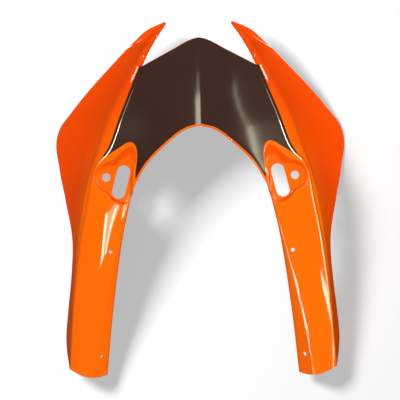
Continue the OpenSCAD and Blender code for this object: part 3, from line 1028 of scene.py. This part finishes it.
    def _triangulate(self, plan: Array, places: Array, edges: list[tuple[int, int]]) -> tuple[Array, Array]:
        """Triangulates plan points with fixed edges.

        Args:
            plan: Plan points, one row each.
            places: Their places in the skin.
            edges: Pairs of points that stay joined.

        Returns:
            Triangles as places in the skin, and the plan centres of the triangles.
        """
        near = 1e-6
        spots, _, faces, sources = delaunay_2d_cdt([Vector(p) for p in plan], edges, [], 0, near)[:4]
        mapped = np.array([places[source[0]] for source in sources])
        spots, faces = np.array(spots), np.array(faces)
        corners = spots[faces]
        ahead, across = corners[:, 1] - corners[:, 0], corners[:, 2] - corners[:, 0]
        area = ahead[:, 0] * across[:, 1] - ahead[:, 1] * across[:, 0]
        faces[area < 0] = faces[area < 0][:, ::-1]
        whole = np.abs(area) > self.LEAST_TRIANGLE
        return mapped[faces[whole]], corners[whole].mean(1)

    def _floor_holes(self) -> tuple[Array, Array]:
        """Plan rings of the mirror hole and of the slot beside it, clockwise.

        Returns:
            Ring of the mirror hole, and ring of the slot.
        """
        form = self.form
        hole = self.mirror_at + circle(self.HOLE_POINTS, form.mirror_hole_r + self.HOLE_R)
        half, radius, side_cells = form.slot_half, form.slot_r + self.HOLE_R, 8
        arc = math.pi - np.arange(self.CAP_POINTS + 1) * math.pi / self.CAP_POINTS
        cap = np.stack([np.cos(arc), np.sin(arc)], 1) * radius
        side = np.linspace(half, -half, side_cells + 1)[1:-1]
        right = np.column_stack([np.full(len(side), radius), side])
        outline = np.vstack([cap + [0, half], right, -cap - [0, half], -right])
        tilt = math.radians(form.slot_tilt)
        turned = outline @ np.array([[math.cos(tilt), math.sin(tilt)], [-math.sin(tilt), math.cos(tilt)]])
        return hole, self.mirror_at + form.slot_at + turned

    def _recess_floor(self) -> None:
        """Fills the recess floor round the mirror hole and the slot beside it."""
        hole, slot = self._floor_holes()
        rings, places = [self.floor_ring, hole, slot], [self.recess[:, -1]]
        for ring in rings[1:]:
            spots = np.column_stack([ring, np.full(len(ring), self.floor_h)])
            places.append(self.skin.add(spots, np.broadcast_to(UP, spots.shape)))
        self.floor_holes = places[1:]
        edges, start = [], 0
        for ring in rings:
            edges += ring_edges(start, len(ring))
            start += len(ring)
        triangles, centres = self._triangulate(np.vstack(rings), np.concatenate(places), edges)
        keep = inside_ring(centres, rings[0]) & ~inside_ring(centres, hole) & ~inside_ring(centres, slot)
        for corners in triangles[keep]:
            self.skin.face(corners, Finish.GLOSS)

    def _note_edges(self) -> None:
        """Lists the free edges of the half."""
        lip = np.concatenate([self.crown[:, 0], self.side[:, 0]])
        end = self.side[-1, 1:]
        rim = np.concatenate([self.side[-2::-1, -1], self.spike[::-1, -1]])
        tip = self.spike[0, -2::-1]
        inner = np.concatenate([self.spike[1:, 0], self.side[:1, self.face_n - 1]])
        nose = self.crown[::-1, -1]
        radii = np.concatenate([
            np.full(len(lip), self.EDGE_R),
            np.linspace(self.EDGE_R, self.rim_r[-1], len(end)),
            self.rim_r[::-1][1:],
            np.full(len(tip), self.rim_r[0]),
            self.spike_edge_r[1:],
            np.full(1 + len(nose), self.EDGE_R),
        ])
        loop = np.concatenate([lip, end, rim, tip, inner, nose])
        self.skin.free_edge(loop, radii, False, Finish.GLOSS)
        for ring in self.hole_ids + self.floor_holes:
            self.skin.free_edge(ring, self.HOLE_R, True, Finish.GLOSS)


class Casing:
    """Closes a half skin with its inner side and rounded edges, as plain mesh data."""

    MIDDLE = 1e-6
    LEAST_MITRE = 0.66
    PAINTED_STRIPS = 3

    def __init__(self, skin: Skin) -> None:
        """Takes the skin's points.

        Args:
            skin: The half's outer surface.
        """
        self.outer = np.concatenate(skin.points)
        self.normals = unit(np.concatenate(skin.normals))
        self.walls = np.concatenate(skin.walls)
        self.skin = skin
        inner = self.outer - self.normals * self.walls[:, None]
        inner[np.abs(self.outer[:, 0]) < self.MIDDLE, 0] = 0.0
        self.points = [self.outer, inner]
        self.all_normals = [self.normals, -self.normals]
        self.count = 2 * len(self.outer)
        self.faces = list(skin.faces)
        self.finishes = list(skin.finishes)
        shift = len(self.outer)
        for corners in skin.faces:
            self.faces.append(tuple(c + shift for c in reversed(corners)))
            self.finishes.append(Finish.BARE)

    def close(self) -> None:
        """Rounds every free edge from the outer to the inner side."""
        for ids, radius, closed, finish in self.skin.edges:
            self._roll(ids, radius, closed, finish)

    def mesh_data(self) -> tuple[Array, Array, list[list[int]]]:
        """Points and normals that the faces use, and the faces.

        Returns:
            Points, their normals, and the faces' corners.
        """
        points, normals = np.concatenate(self.points), np.concatenate(self.all_normals)
        used = np.unique(np.concatenate([np.array(corners) for corners in self.faces]))
        number = np.full(len(points), -1)
        number[used] = np.arange(len(used))
        return points[used], normals[used], [number[list(corners)].tolist() for corners in self.faces]

    def _outward(self, ids: Array, closed: bool) -> Array:
        """Directions out of the skin at a free edge, longer at its corners.

        Args:
            ids: Places of the edge's points, in order.
            closed: True for a ring.

        Returns:
            One direction for each point.
        """
        spots, normals = self.outer[ids], self.normals[ids]
        ahead = np.roll(spots, -1, 0) - spots
        if not closed:
            ahead[-1] = ahead[-2]
        before = np.roll(ahead, 1, 0)
        if not closed:
            before[0] = ahead[0]
        out_ahead, out_before = unit(np.cross(ahead, normals)), unit(np.cross(before, normals))
        mean = unit(out_ahead + out_before)
        stretch = 1.0 / np.maximum(self.LEAST_MITRE, (mean * out_ahead).sum(1))
        if not closed:
            for end in (0, -1):
                mean[end, 0] = 0.0
            mean = unit(mean)
        return mean * stretch[:, None]

    def _roll(self, ids: Array, radius: Array, closed: bool, finish: Finish) -> None:
        """Adds the rolled strip of one free edge.

        Args:
            ids: Places of the edge's points, in order.
            radius: Radius of the rounding at each point.
            closed: True for a ring.
            finish: Finish of the outer half of the strip.
        """
        spots, normals, walls = self.outer[ids], self.normals[ids], self.walls[ids][:, None]
        out, r = self._outward(ids, closed), radius[:, None]
        side = unit(out)
        half = math.sqrt(0.5)
        rings = [
            (spots + out * r * half - normals * r * (1 - half), (normals + side) * half),
            (spots + out * r - normals * r, side),
            (spots + out * r - normals * (walls - r), side),
            (spots + out * r * half - normals * (walls - r * (1 - half)), (side - normals) * half),
        ]
        places = [ids]
        for points, turned in rings:
            points = points.copy()
            if not closed:
                points[[0, -1], 0] = 0.0
            self.points.append(points)
            self.all_normals.append(unit(turned))
            places.append(np.arange(self.count, self.count + len(ids)))
            self.count += len(ids)
        places.append(ids + len(self.outer))
        for strip, (near, far) in enumerate(zip(places[:-1], places[1:])):
            painted = finish if strip < self.PAINTED_STRIPS else Finish.BARE
            for i in range(len(ids) if closed else len(ids) - 1):
                j = (i + 1) % len(ids)
                self.faces.append(distinct([near[i], far[i], far[j], near[j]]))
                self.finishes.append(painted)


class NodeKit:
    """Short helper round a node tree."""

    def __init__(self, tree: bpy.types.NodeTree) -> None:
        """Takes the tree.

        Args:
            tree: Tree that the nodes go into.
        """
        self.tree = tree

    def add(self, kind: str, values: Optional[dict] = None, **settings: object) -> bpy.types.Node:
        """Adds a node.

        Args:
            kind: Type of the node.
            values: What its inputs get, as in feed.
            settings: Settings of the node itself.

        Returns:
            The node.
        """
        node = self.tree.nodes.new(kind)
        for name, value in settings.items():
            setattr(node, name, value)
        self.feed(node, values or {})
        return node

    def feed(self, node: bpy.types.Node, values: dict) -> None:
        """Gives a node's inputs, by name or number, sockets to link or plain values.

        Args:
            node: The node.
            values: Sockets or values, by the inputs' names or numbers.
        """
        for key, value in values.items():
            if isinstance(value, Socket):
                self.tree.links.new(value, node.inputs[key])
            else:
                node.inputs[key].default_value = value


class MirrorTree(NodeKit):
    """Geometry Nodes tree that makes the left half from the right one and paints both."""

    NORMAL = "skin_normal"
    FINISH = "finish"
    FLIP = (-1.0, 1.0, 1.0)

    def __init__(self, materials: dict[Finish, bpy.types.Material]) -> None:
        """Builds the tree.

        Args:
            materials: Material of each finish.
        """
        super().__init__(bpy.data.node_groups.new("mirrored_moulding", "GeometryNodeTree"))
        face = self.tree.interface
        face.new_socket("Geometry", in_out="INPUT", socket_type="NodeSocketGeometry")
        self.weld = face.new_socket("Weld Distance", in_out="INPUT", socket_type="NodeSocketFloat")
        face.new_socket("Geometry", in_out="OUTPUT", socket_type="NodeSocketGeometry")
        start = self.add("NodeGroupInput").outputs
        turned = self.add("GeometryNodeTransform", {"Geometry": start["Geometry"], "Scale": self.FLIP})
        flipped = self.add("GeometryNodeFlipFaces", {"Mesh": turned.outputs["Geometry"]})
        named = self.add("GeometryNodeInputNamedAttribute", data_type="FLOAT_VECTOR")
        self.feed(named, {"Name": self.NORMAL})
        times = {0: named.outputs["Attribute"], 1: self.FLIP}
        value = self.add("ShaderNodeVectorMath", times, operation="MULTIPLY").outputs["Vector"]
        store = self.add("GeometryNodeStoreNamedAttribute", data_type="FLOAT_VECTOR", domain="POINT")
        self.feed(store, {"Geometry": flipped.outputs["Mesh"], "Name": self.NORMAL, "Value": value})
        join = self.add("GeometryNodeJoinGeometry", {"Geometry": store.outputs["Geometry"]})
        self.feed(join, {"Geometry": start["Geometry"]})
        merge = self.add("GeometryNodeMergeByDistance", {
            "Geometry": join.outputs["Geometry"], "Distance": start["Weld Distance"],
        })
        real = self.add("GeometryNodeRealizeInstances", {"Geometry": merge.outputs["Geometry"]})
        last = real.outputs["Geometry"]
        for finish, material in materials.items():
            last = self._paint(last, finish, material)
        self.add("NodeGroupOutput", {"Geometry": last})

    def _paint(self, last: Socket, finish: Finish, material: bpy.types.Material) -> Socket:
        """Sets the material of the faces with one finish.

        Args:
            last: Socket that the geometry comes from.
            finish: Finish whose faces get the material.
            material: The material.

        Returns:
            Socket that the geometry leaves from.
        """
        value = self.add("GeometryNodeInputNamedAttribute", {"Name": self.FINISH}, data_type="INT")
        same = self.add("FunctionNodeCompare", data_type="INT", operation="EQUAL")
        numbers = [s for s in same.inputs if s.type == "INT"]
        numbers[1].default_value = int(finish)
        self.tree.links.new(value.outputs["Attribute"], numbers[0])
        node = self.add("GeometryNodeSetMaterial", {
            "Geometry": last, "Selection": same.outputs["Result"], "Material": material,
        })
        return node.outputs["Geometry"]

    def apply(self, half: bpy.types.Object, weld: float) -> bpy.types.Mesh:
        """Runs the tree on the half.

        Args:
            half: Object of the right half.
            weld: Distance within which the halves' points are merged, in metres.

        Returns:
            Mesh of the whole moulding.
        """
        modifier = half.modifiers.new("mirrored_moulding", "NODES")
        modifier.node_group = self.tree
        modifier[self.weld.identifier] = weld
        graph = bpy.context.evaluated_depsgraph_get()
        whole = bpy.data.meshes.new_from_object(half.evaluated_get(graph))
        half.modifiers.remove(modifier)
        return whole


class NodeSheet(NodeKit):
    """Nodes of one material, round its Principled shader."""

    NOISE_SPREAD = (0.3, 0.7)

    def __init__(self, name: str) -> None:
        """Starts the material.

        Args:
            name: Name of the material.
        """
        self.material = bpy.data.materials.new(name)
        self.material.use_nodes = True
        super().__init__(self.material.node_tree)
        self.shader = self.tree.nodes["Principled BSDF"]
        self.place = self.add("ShaderNodeTexCoord").outputs["Object"]

    def set(self, **values: object) -> None:
        """Sets or links inputs of the shader, with underscores for the spaces in their names."""
        self.feed(self.shader, {name.replace("_", " "): value for name, value in values.items()})

    def noise(self, scale: float, detail: float, rough: float = 0.5) -> Socket:
        """Noise on the piece's own coordinates, from 0 to 1."""
        values = {"Scale": scale, "Detail": detail, "Roughness": rough, "Vector": self.place}
        return self.add("ShaderNodeTexNoise", values).outputs["Fac"]

    def blend(self, fac: Socket, low: Colour, high: Colour) -> Socket:
        """Colour between two, by a value from 0 to 1."""
        values = {6: (*low, 1.0), 7: (*high, 1.0), "Factor": fac}
        return self.add("ShaderNodeMix", values, data_type="RGBA").outputs[2]

    def ramp(self, value: Socket, start: float, end: float, **settings: object) -> bpy.types.Node:
        """Node that maps a value between two others to 0 and 1."""
        values = {"Value": value, "From Min": start, "From Max": end}
        return self.add("ShaderNodeMapRange", values, **settings)

    def spread(self, fac: Socket, low: float = 0.0, high: float = 1.0) -> Socket:
        """Value mapped from the noise's usual spread to low and high.

        Args:
            fac: Noise from 0 to 1.
            low: Value where the noise is low.
            high: Value where it is high.

        Returns:
            The mapped value.
        """
        node = self.ramp(fac, *self.NOISE_SPREAD)
        self.feed(node, {"To Min": low, "To Max": high})
        return node.outputs["Result"]

    def painted_shade_climb(self, noise: Socket, drift: float, way: Point, ends: tuple[float, float]) -> Socket:
        """Share of the way between two levels on the piece, with a drift; it sets where the colour has
        painted shade.

        Args:
            noise: Noise from 0 to 1 that moves the level.
            drift: How far the noise moves it, in metres.
            way: Direction in which the level rises.
            ends: Levels where the share is 0 and 1.

        Returns:
            The share.
        """
        level = self.add("ShaderNodeVectorMath", {0: self.place, 1: way}, operation="DOT_PRODUCT")
        values = {0: noise, 1: drift, 2: level.outputs["Value"]}
        moved = self.add("ShaderNodeMath", values, operation="MULTIPLY_ADD").outputs[0]
        start, end = ends[0] + drift / 2, ends[1] + drift / 2
        return self.ramp(moved, start, end, interpolation_type="SMOOTHSTEP").outputs["Result"]

    def bump(self, height: Socket, depth: float, strength: float, coat: bool = False) -> None:
        """Raises a value as bump, on the surface or on its clear coat.

        Args:
            height: Value from 0 to 1.
            depth: Height of the bump in metres.
            strength: Share of the bump that is used.
            coat: True to raise the clear coat alone.
        """
        values = {"Height": height, "Distance": depth, "Strength": strength}
        normal = self.add("ShaderNodeBump", values).outputs["Normal"]
        self.feed(self.shader, {"Coat Normal" if coat else "Normal": normal})


@dataclass(frozen=True)
class GlossPaint:
    """Gloss orange paint under a clear coat with a faint orange peel; its colour has painted shade, darker
    and redder low down and towards the front.
    """

    # low is the orange with painted shade, for the low wings and the front that fall away from the light;
    # high is the lit orange of crown and arms.
    low: Colour = (0.94, 0.074, 0.0004)
    high: Colour = (0.97, 0.142, 0.0006)
    # Heights at which the colour goes from full painted shade to none, along a way that rises up and towards
    # the back.
    painted_shade_heights: tuple[float, float] = (0.045, 0.110)
    painted_shade_rise: Point = (0.0, -0.22, 1.0)
    drift: float = 0.02
    drift_noise: tuple[float, float] = (7.0, 2.0)
    roughness: float = 0.42
    coat_roughness: float = 0.04
    coat_ior: float = 1.5
    peel_noise: tuple[float, float] = (700.0, 1.0)
    peel_depth: float = 0.00001
    peel_strength: float = 0.2

    def build(self) -> bpy.types.Material:
        """Makes the material.

        Returns:
            The material.
        """
        sheet = NodeSheet("gloss_orange_paint")
        # Blends the colour from painted shade low and forward to the lit orange higher up.
        level = sheet.painted_shade_climb(sheet.noise(*self.drift_noise), self.drift, self.painted_shade_rise, self.painted_shade_heights)
        sheet.set(Base_Color=sheet.blend(level, self.low, self.high), Roughness=self.roughness)
        sheet.set(Specular_IOR_Level=0.0, Coat_Weight=1.0)
        sheet.set(Coat_Roughness=self.coat_roughness, Coat_IOR=self.coat_ior)
        sheet.bump(sheet.noise(*self.peel_noise), self.peel_depth, self.peel_strength, coat=True)
        return sheet.material


@dataclass(frozen=True)
class SatinPaint:
    """Satin dark brown paint of the crown's field, with a fine grain and soft sheen."""

    deep: Colour = (0.032, 0.0145, 0.0090)
    pale: Colour = (0.047, 0.0220, 0.0145)
    flow_noise: tuple[float, float] = (5.0, 3.0)
    specular: float = 0.5
    roughness: tuple[float, float] = (0.07, 0.09)
    sheen_noise: tuple[float, float] = (9.0, 3.0)
    grain_noise: tuple[float, float] = (2600.0, 2.0)
    grain_depth: float = 0.00002
    grain_strength: float = 0.05

    def build(self) -> bpy.types.Material:
        """Makes the material.

        Returns:
            The material.
        """
        sheet = NodeSheet("satin_brown_paint")
        flow = sheet.spread(sheet.noise(*self.flow_noise))
        sheet.set(Base_Color=sheet.blend(flow, self.deep, self.pale), Specular_IOR_Level=self.specular)
        sheet.set(Roughness=sheet.spread(sheet.noise(*self.sheen_noise), *self.roughness))
        sheet.bump(sheet.noise(*self.grain_noise), self.grain_depth, self.grain_strength)
        return sheet.material


@dataclass(frozen=True)
class BarePlastic:
    """Unpainted black moulding plastic of the inner side, with its fine moulded grain."""

    deep: Colour = (0.016, 0.016, 0.017)
    pale: Colour = (0.030, 0.030, 0.031)
    flow_noise: tuple[float, float, float] = (14.0, 4.0, 0.6)
    roughness: tuple[float, float] = (0.48, 0.66)
    grain_noise: tuple[float, float] = (1500.0, 3.0)
    grain_depth: float = 0.00008
    grain_strength: float = 0.6

    def build(self) -> bpy.types.Material:
        """Makes the material.

        Returns:
            The material.
        """
        sheet = NodeSheet("bare_black_plastic")
        flow = sheet.noise(*self.flow_noise)
        sheet.set(Base_Color=sheet.blend(sheet.spread(flow), self.deep, self.pale))
        sheet.set(Roughness=sheet.spread(flow, *self.roughness))
        sheet.bump(sheet.noise(*self.grain_noise), self.grain_depth, self.grain_strength)
        return sheet.material


@dataclass
class NoseCowl:
    """The whole moulded cowl: two halves of one shell with its three finishes."""

    form: CowlForm = field(default_factory=CowlForm)
    gloss: GlossPaint = field(default_factory=GlossPaint)
    satin: SatinPaint = field(default_factory=SatinPaint)
    bare: BarePlastic = field(default_factory=BarePlastic)
    weld: float = 1e-6

    def build(self, record: dict) -> bpy.types.Object:
        """Builds the shell where the record's mirror holes are.

        Args:
            record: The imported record, whose mounts give the shift to the row frame.

        Returns:
            The finished object.
        """
        seat = next(m["pos_m"] for m in record["mounts"] if m["name"] == "mirror_holes")
        form = self.form
        floor_h = float(form.face_h(np.array(form.mirror_pitch / 2), np.array(0.0))) - form.recess_depth
        casing = Casing(HalfShell(form, floor_h).build())
        casing.close()
        half = self._half(casing, np.array([0.0, seat[1] / MM, seat[2] / MM - floor_h]))
        paints = (self.gloss, self.satin, self.bare)
        materials = {finish: paint.build() for finish, paint in zip(Finish, paints)}
        whole = MirrorTree(materials).apply(half, self.weld)
        bpy.data.objects.remove(half)
        self._smooth(whole)
        shell = bpy.data.objects.new("nose_cowl_shell", whole)
        bpy.context.scene.collection.objects.link(shell)
        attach(shell, "root")
        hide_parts("nose_cowl")
        LOG.info("nose_cowl_shell: %d points, %d faces", len(whole.vertices), len(whole.polygons))
        return shell

    def _half(self, casing: Casing, shift: Array) -> bpy.types.Object:
        """Makes the right half an object, with its normals and finishes as attributes.

        Args:
            casing: The closed half.
            shift: Shift to the row frame, in millimetres.

        Returns:
            The object.
        """
        points, normals, faces = casing.mesh_data()
        mesh = bpy.data.meshes.new("nose_cowl_half")
        mesh.from_pydata(((points + shift) * MM).tolist(), [], faces)
        normal = mesh.attributes.new(MirrorTree.NORMAL, "FLOAT_VECTOR", "POINT")
        normal.data.foreach_set("vector", normals.ravel())
        finish = mesh.attributes.new(MirrorTree.FINISH, "INT", "FACE")
        finish.data.foreach_set("value", [int(f) for f in casing.finishes])
        half = bpy.data.objects.new("nose_cowl_half", mesh)
        bpy.context.scene.collection.objects.link(half)
        return half

    def _smooth(self, mesh: bpy.types.Mesh) -> None:
        """Gives the mesh the form's own normals and drops the helper attributes.

        Args:
            mesh: Mesh of the whole moulding.
        """
        mesh.name = "nose_cowl_shell"
        values = np.empty(len(mesh.vertices) * 3)
        mesh.attributes[MirrorTree.NORMAL].data.foreach_get("vector", values)
        mesh.polygons.foreach_set("use_smooth", [True] * len(mesh.polygons))
        mesh.normals_split_custom_set_from_vertices(unit(values.reshape(-1, 3)).tolist())
        for name in (MirrorTree.NORMAL, MirrorTree.FINISH):
            mesh.attributes.remove(mesh.attributes[name])
        mesh.update()


class Role(Enum):
    """What a studio lamp is for."""

    LIGHT = "lights the cowl alone, and isn't seen in its paint"
    REFLECTION = "is only seen in the paint"
    SHADOW = "lights the floor alone, where the cowl keeps its light off"


@dataclass(frozen=True)
class Softbox:
    """Rectangular studio lamp, given by the middles of its two short sides, that faces the cowl."""

    WARM: ClassVar[Colour] = (1.0, 0.92, 0.70)

    name: str
    start: Point
    end: Point
    width: float
    watts: float
    role: Role = Role.REFLECTION
    aim: Point = (0.0, 0.0, 0.1)

    def build(self, floor: bpy.types.Object) -> bpy.types.Object:
        """Makes the lamp.

        Args:
            floor: The studio's floor.

        Returns:
            The lamp.
        """
        start, end = Vector(self.start), Vector(self.end)
        data = bpy.data.lights.new(self.name, "AREA")
        data.shape = "RECTANGLE"
        data.size, data.size_y = self.width, (end - start).length
        data.energy = self.watts
        lamp = bpy.data.objects.new(self.name, data)
        lamp.location = (start + end) / 2
        lamp.visible_glossy = self.role is Role.REFLECTION
        lamp.visible_diffuse = self.role is not Role.REFLECTION
        if self.role is Role.REFLECTION:
            data.color = self.WARM
        lit = bpy.data.collections.new(self.name + "_floor")
        lit.objects.link(floor)
        if self.role is not Role.SHADOW:
            lit.collection_objects[0].light_linking.link_state = "EXCLUDE"
        lamp.light_linking.receiver_collection = lit
        along = (end - start).normalized()
        back = lamp.location - Vector(self.aim)
        back = (back - along * back.dot(along)).normalized()
        lamp.rotation_euler = Matrix((along.cross(back), along, back)).transposed().to_euler()
        bpy.context.scene.collection.objects.link(lamp)
        return lamp


@dataclass
class Studio:
    """Floor, world, lamps and camera of the photograph.

    The scale is in metres for one pixel of the picture at the height of the plane, and the roll
    of the camera is in degrees.
    """

    scale: float = 0.00185
    picture: int = 400
    sensor: float = 36.0
    reach: float = 50.0
    height: float = 5.0
    plane: float = 0.08
    roll: float = -0.8
    centre: tuple[float, float] = (-0.0018, -0.0016)
    world: float = 0.05
    floor_shade: float = 0.40
    floor_mirrored: float = 0.02
    floor_glow: float = 0.48
    floor_half: float = 6.0
    lamps: tuple[Softbox, ...] = (
        Softbox("shadow_upper_left", (-2.50, 1.00, 2.60), (-1.75, 1.75, 2.60), 1.0, 262.0, Role.SHADOW),
        Softbox("overhead", (-1.20, 0.0, 6.0), (1.20, 0.0, 6.0), 2.4, 345.0, Role.LIGHT),
        Softbox("side_right", (2.30, 1.15, 1.35), (2.45, -1.35, 1.35), 0.26, 27.0, Role.LIGHT),
        Softbox("side_left", (-2.30, 1.15, 1.35), (-2.45, -1.35, 1.35), 0.22, 14.0, Role.LIGHT),
        Softbox("crown_edge_right", (1.56, 1.28, 1.80), (1.79, 0.60, 1.98), 0.50, 86.0),
        Softbox("crown_edge_left", (-1.56, 1.28, 1.80), (-1.79, 0.60, 1.98), 0.54, 58.0),
        Softbox("crown_edge_front_right", (1.42, 1.60, 1.76), (1.56, 1.28, 1.80), 0.30, 7.4),
        Softbox("crown_edge_front_left", (-1.42, 1.60, 1.76), (-1.56, 1.28, 1.80), 0.30, 5.2),
        Softbox("arm_crease_right", (2.25, 0.25, 1.15), (2.35, -0.80, 1.15), 0.5, 50.0),
        Softbox("ridge_rear", (-0.09, 1.35, 2.75), (-0.12, 1.86, 2.57), 0.38, 6.5),
        Softbox("ridge_front", (-0.12, 1.86, 2.57), (-0.12, 2.00, 2.53), 0.25, 0.3),
        Softbox("crown_crease_front", (1.24, 2.05, 2.6), (1.44, 1.45, 2.6), 0.035, 0.55),
        Softbox("crown_crease_rear", (1.44, 1.45, 2.6), (1.53, -0.18, 2.6), 0.045, 3.8),
        Softbox("recess_rims", (-1.90, 1.30, 2.2), (-1.70, 1.55, 2.2), 0.20, 5.0),
        Softbox("arm_rail_outer", (-1.68, -0.78, 2.6), (-1.42, -1.28, 2.6), 0.05, 3.2),
        Softbox("arm_rail_inner", (-1.38, -0.80, 2.6), (-1.27, -1.22, 2.6), 0.04, 1.6),
        Softbox("arm_wedge", (-1.50, -0.75, 2.62), (-1.36, -1.25, 2.62), 0.30, 3.2),
        Softbox("facet_line", (-0.38, -1.80, 2.6), (-0.62, -1.97, 2.6), 0.10, 9.0),
        Softbox("facet_line_front", (-1.45, -1.60, 1.65), (-1.33, -1.80, 1.65), 0.18, 5.0),
        Softbox("outer_line", (1.98, -0.95, 1.72), (2.42, -1.03, 1.12), 0.09, 4.4),
    )

    def build(self) -> None:
        """Makes everything round the cowl."""
        floor = self._floor()
        self._world()
        self._camera()
        for lamp in self.lamps:
            lamp.build(floor)
            LOG.info("lamp %s", lamp.name)

    def _camera(self) -> None:
        """Camera straight above, rolled as in the photograph."""
        data = bpy.data.cameras.new("photo_camera")
        data.sensor_width = self.sensor
        data.lens = self.sensor * (self.height - self.plane) / (self.scale * self.picture)
        data.clip_end = self.reach
        camera = bpy.data.objects.new("photo_camera", data)
        camera.location = (*self.centre, self.height)
        camera.rotation_euler = (0.0, 0.0, math.radians(self.roll))
        bpy.context.scene.collection.objects.link(camera)
        bpy.context.scene.camera = camera

    def _world(self) -> None:
        """Plain soft light from all round, white to the camera."""
        world = bpy.data.worlds.new("studio")
        world.use_nodes = True
        kit = NodeKit(world.node_tree)
        light = kit.tree.nodes["Background"]
        kit.feed(light, {"Color": WHITE, "Strength": self.world})
        white = kit.add("ShaderNodeBackground", {"Color": WHITE, "Strength": 1.0})
        seen = kit.add("ShaderNodeLightPath").outputs["Is Camera Ray"]
        mix = kit.add("ShaderNodeMixShader", {0: seen, 1: light.outputs[0], 2: white.outputs[0]})
        kit.feed(kit.tree.nodes["World Output"], {"Surface": mix.outputs[0]})
        bpy.context.scene.world = world

    def _floor(self) -> bpy.types.Object:
        """White floor that keeps the cowl's soft shadow and is dim in the paint.

        Returns:
            The floor.
        """
        mesh = bpy.data.meshes.new("studio_floor")
        half = self.floor_half
        square = [(-half, -half, 0), (half, -half, 0), (half, half, 0), (-half, half, 0)]
        mesh.from_pydata(square, [], [(0, 1, 2, 3)])
        floor = bpy.data.objects.new("studio_floor", mesh)
        material = bpy.data.materials.new("studio_white")
        material.use_nodes = True
        kit = NodeKit(material.node_tree)
        kit.tree.nodes.remove(kit.tree.nodes["Principled BSDF"])
        matt, mirrored = (
            kit.add("ShaderNodeBsdfDiffuse", {"Color": (shade, shade, shade, 1.0)}).outputs[0]
            for shade in (self.floor_shade, self.floor_mirrored)
        )
        glow = kit.add("ShaderNodeEmission", {"Strength": self.floor_glow}).outputs[0]
        path = kit.add("ShaderNodeLightPath").outputs
        seen = kit.add("ShaderNodeAddShader", {0: matt, 1: glow}).outputs[0]
        pick = kit.add("ShaderNodeMixShader", {0: path["Is Camera Ray"], 1: matt, 2: seen}).outputs[0]
        last = kit.add("ShaderNodeMixShader", {0: path["Is Glossy Ray"], 1: pick, 2: mirrored}).outputs[0]
        kit.feed(kit.tree.nodes["Material Output"], {"Surface": last})
        mesh.materials.append(material)
        bpy.context.scene.collection.objects.link(floor)
        return floor


def corners(box: object) -> list[list[float]]:
    """Corners of a box as plain lists."""
    return [[float(v) for v in corner] for corner in box]


def main() -> None:
    """Builds the cowl and the studio."""
    logging.basicConfig(level=logging.INFO, format="%(name)s: %(message)s")
    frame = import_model()
    shell = NoseCowl().build(frame["record"])
    LOG.info("built %s", shell.name)
    Studio().build()
    bpy.context.scene.view_settings.view_transform = "Standard"


if __name__ == "__main__":
    main()
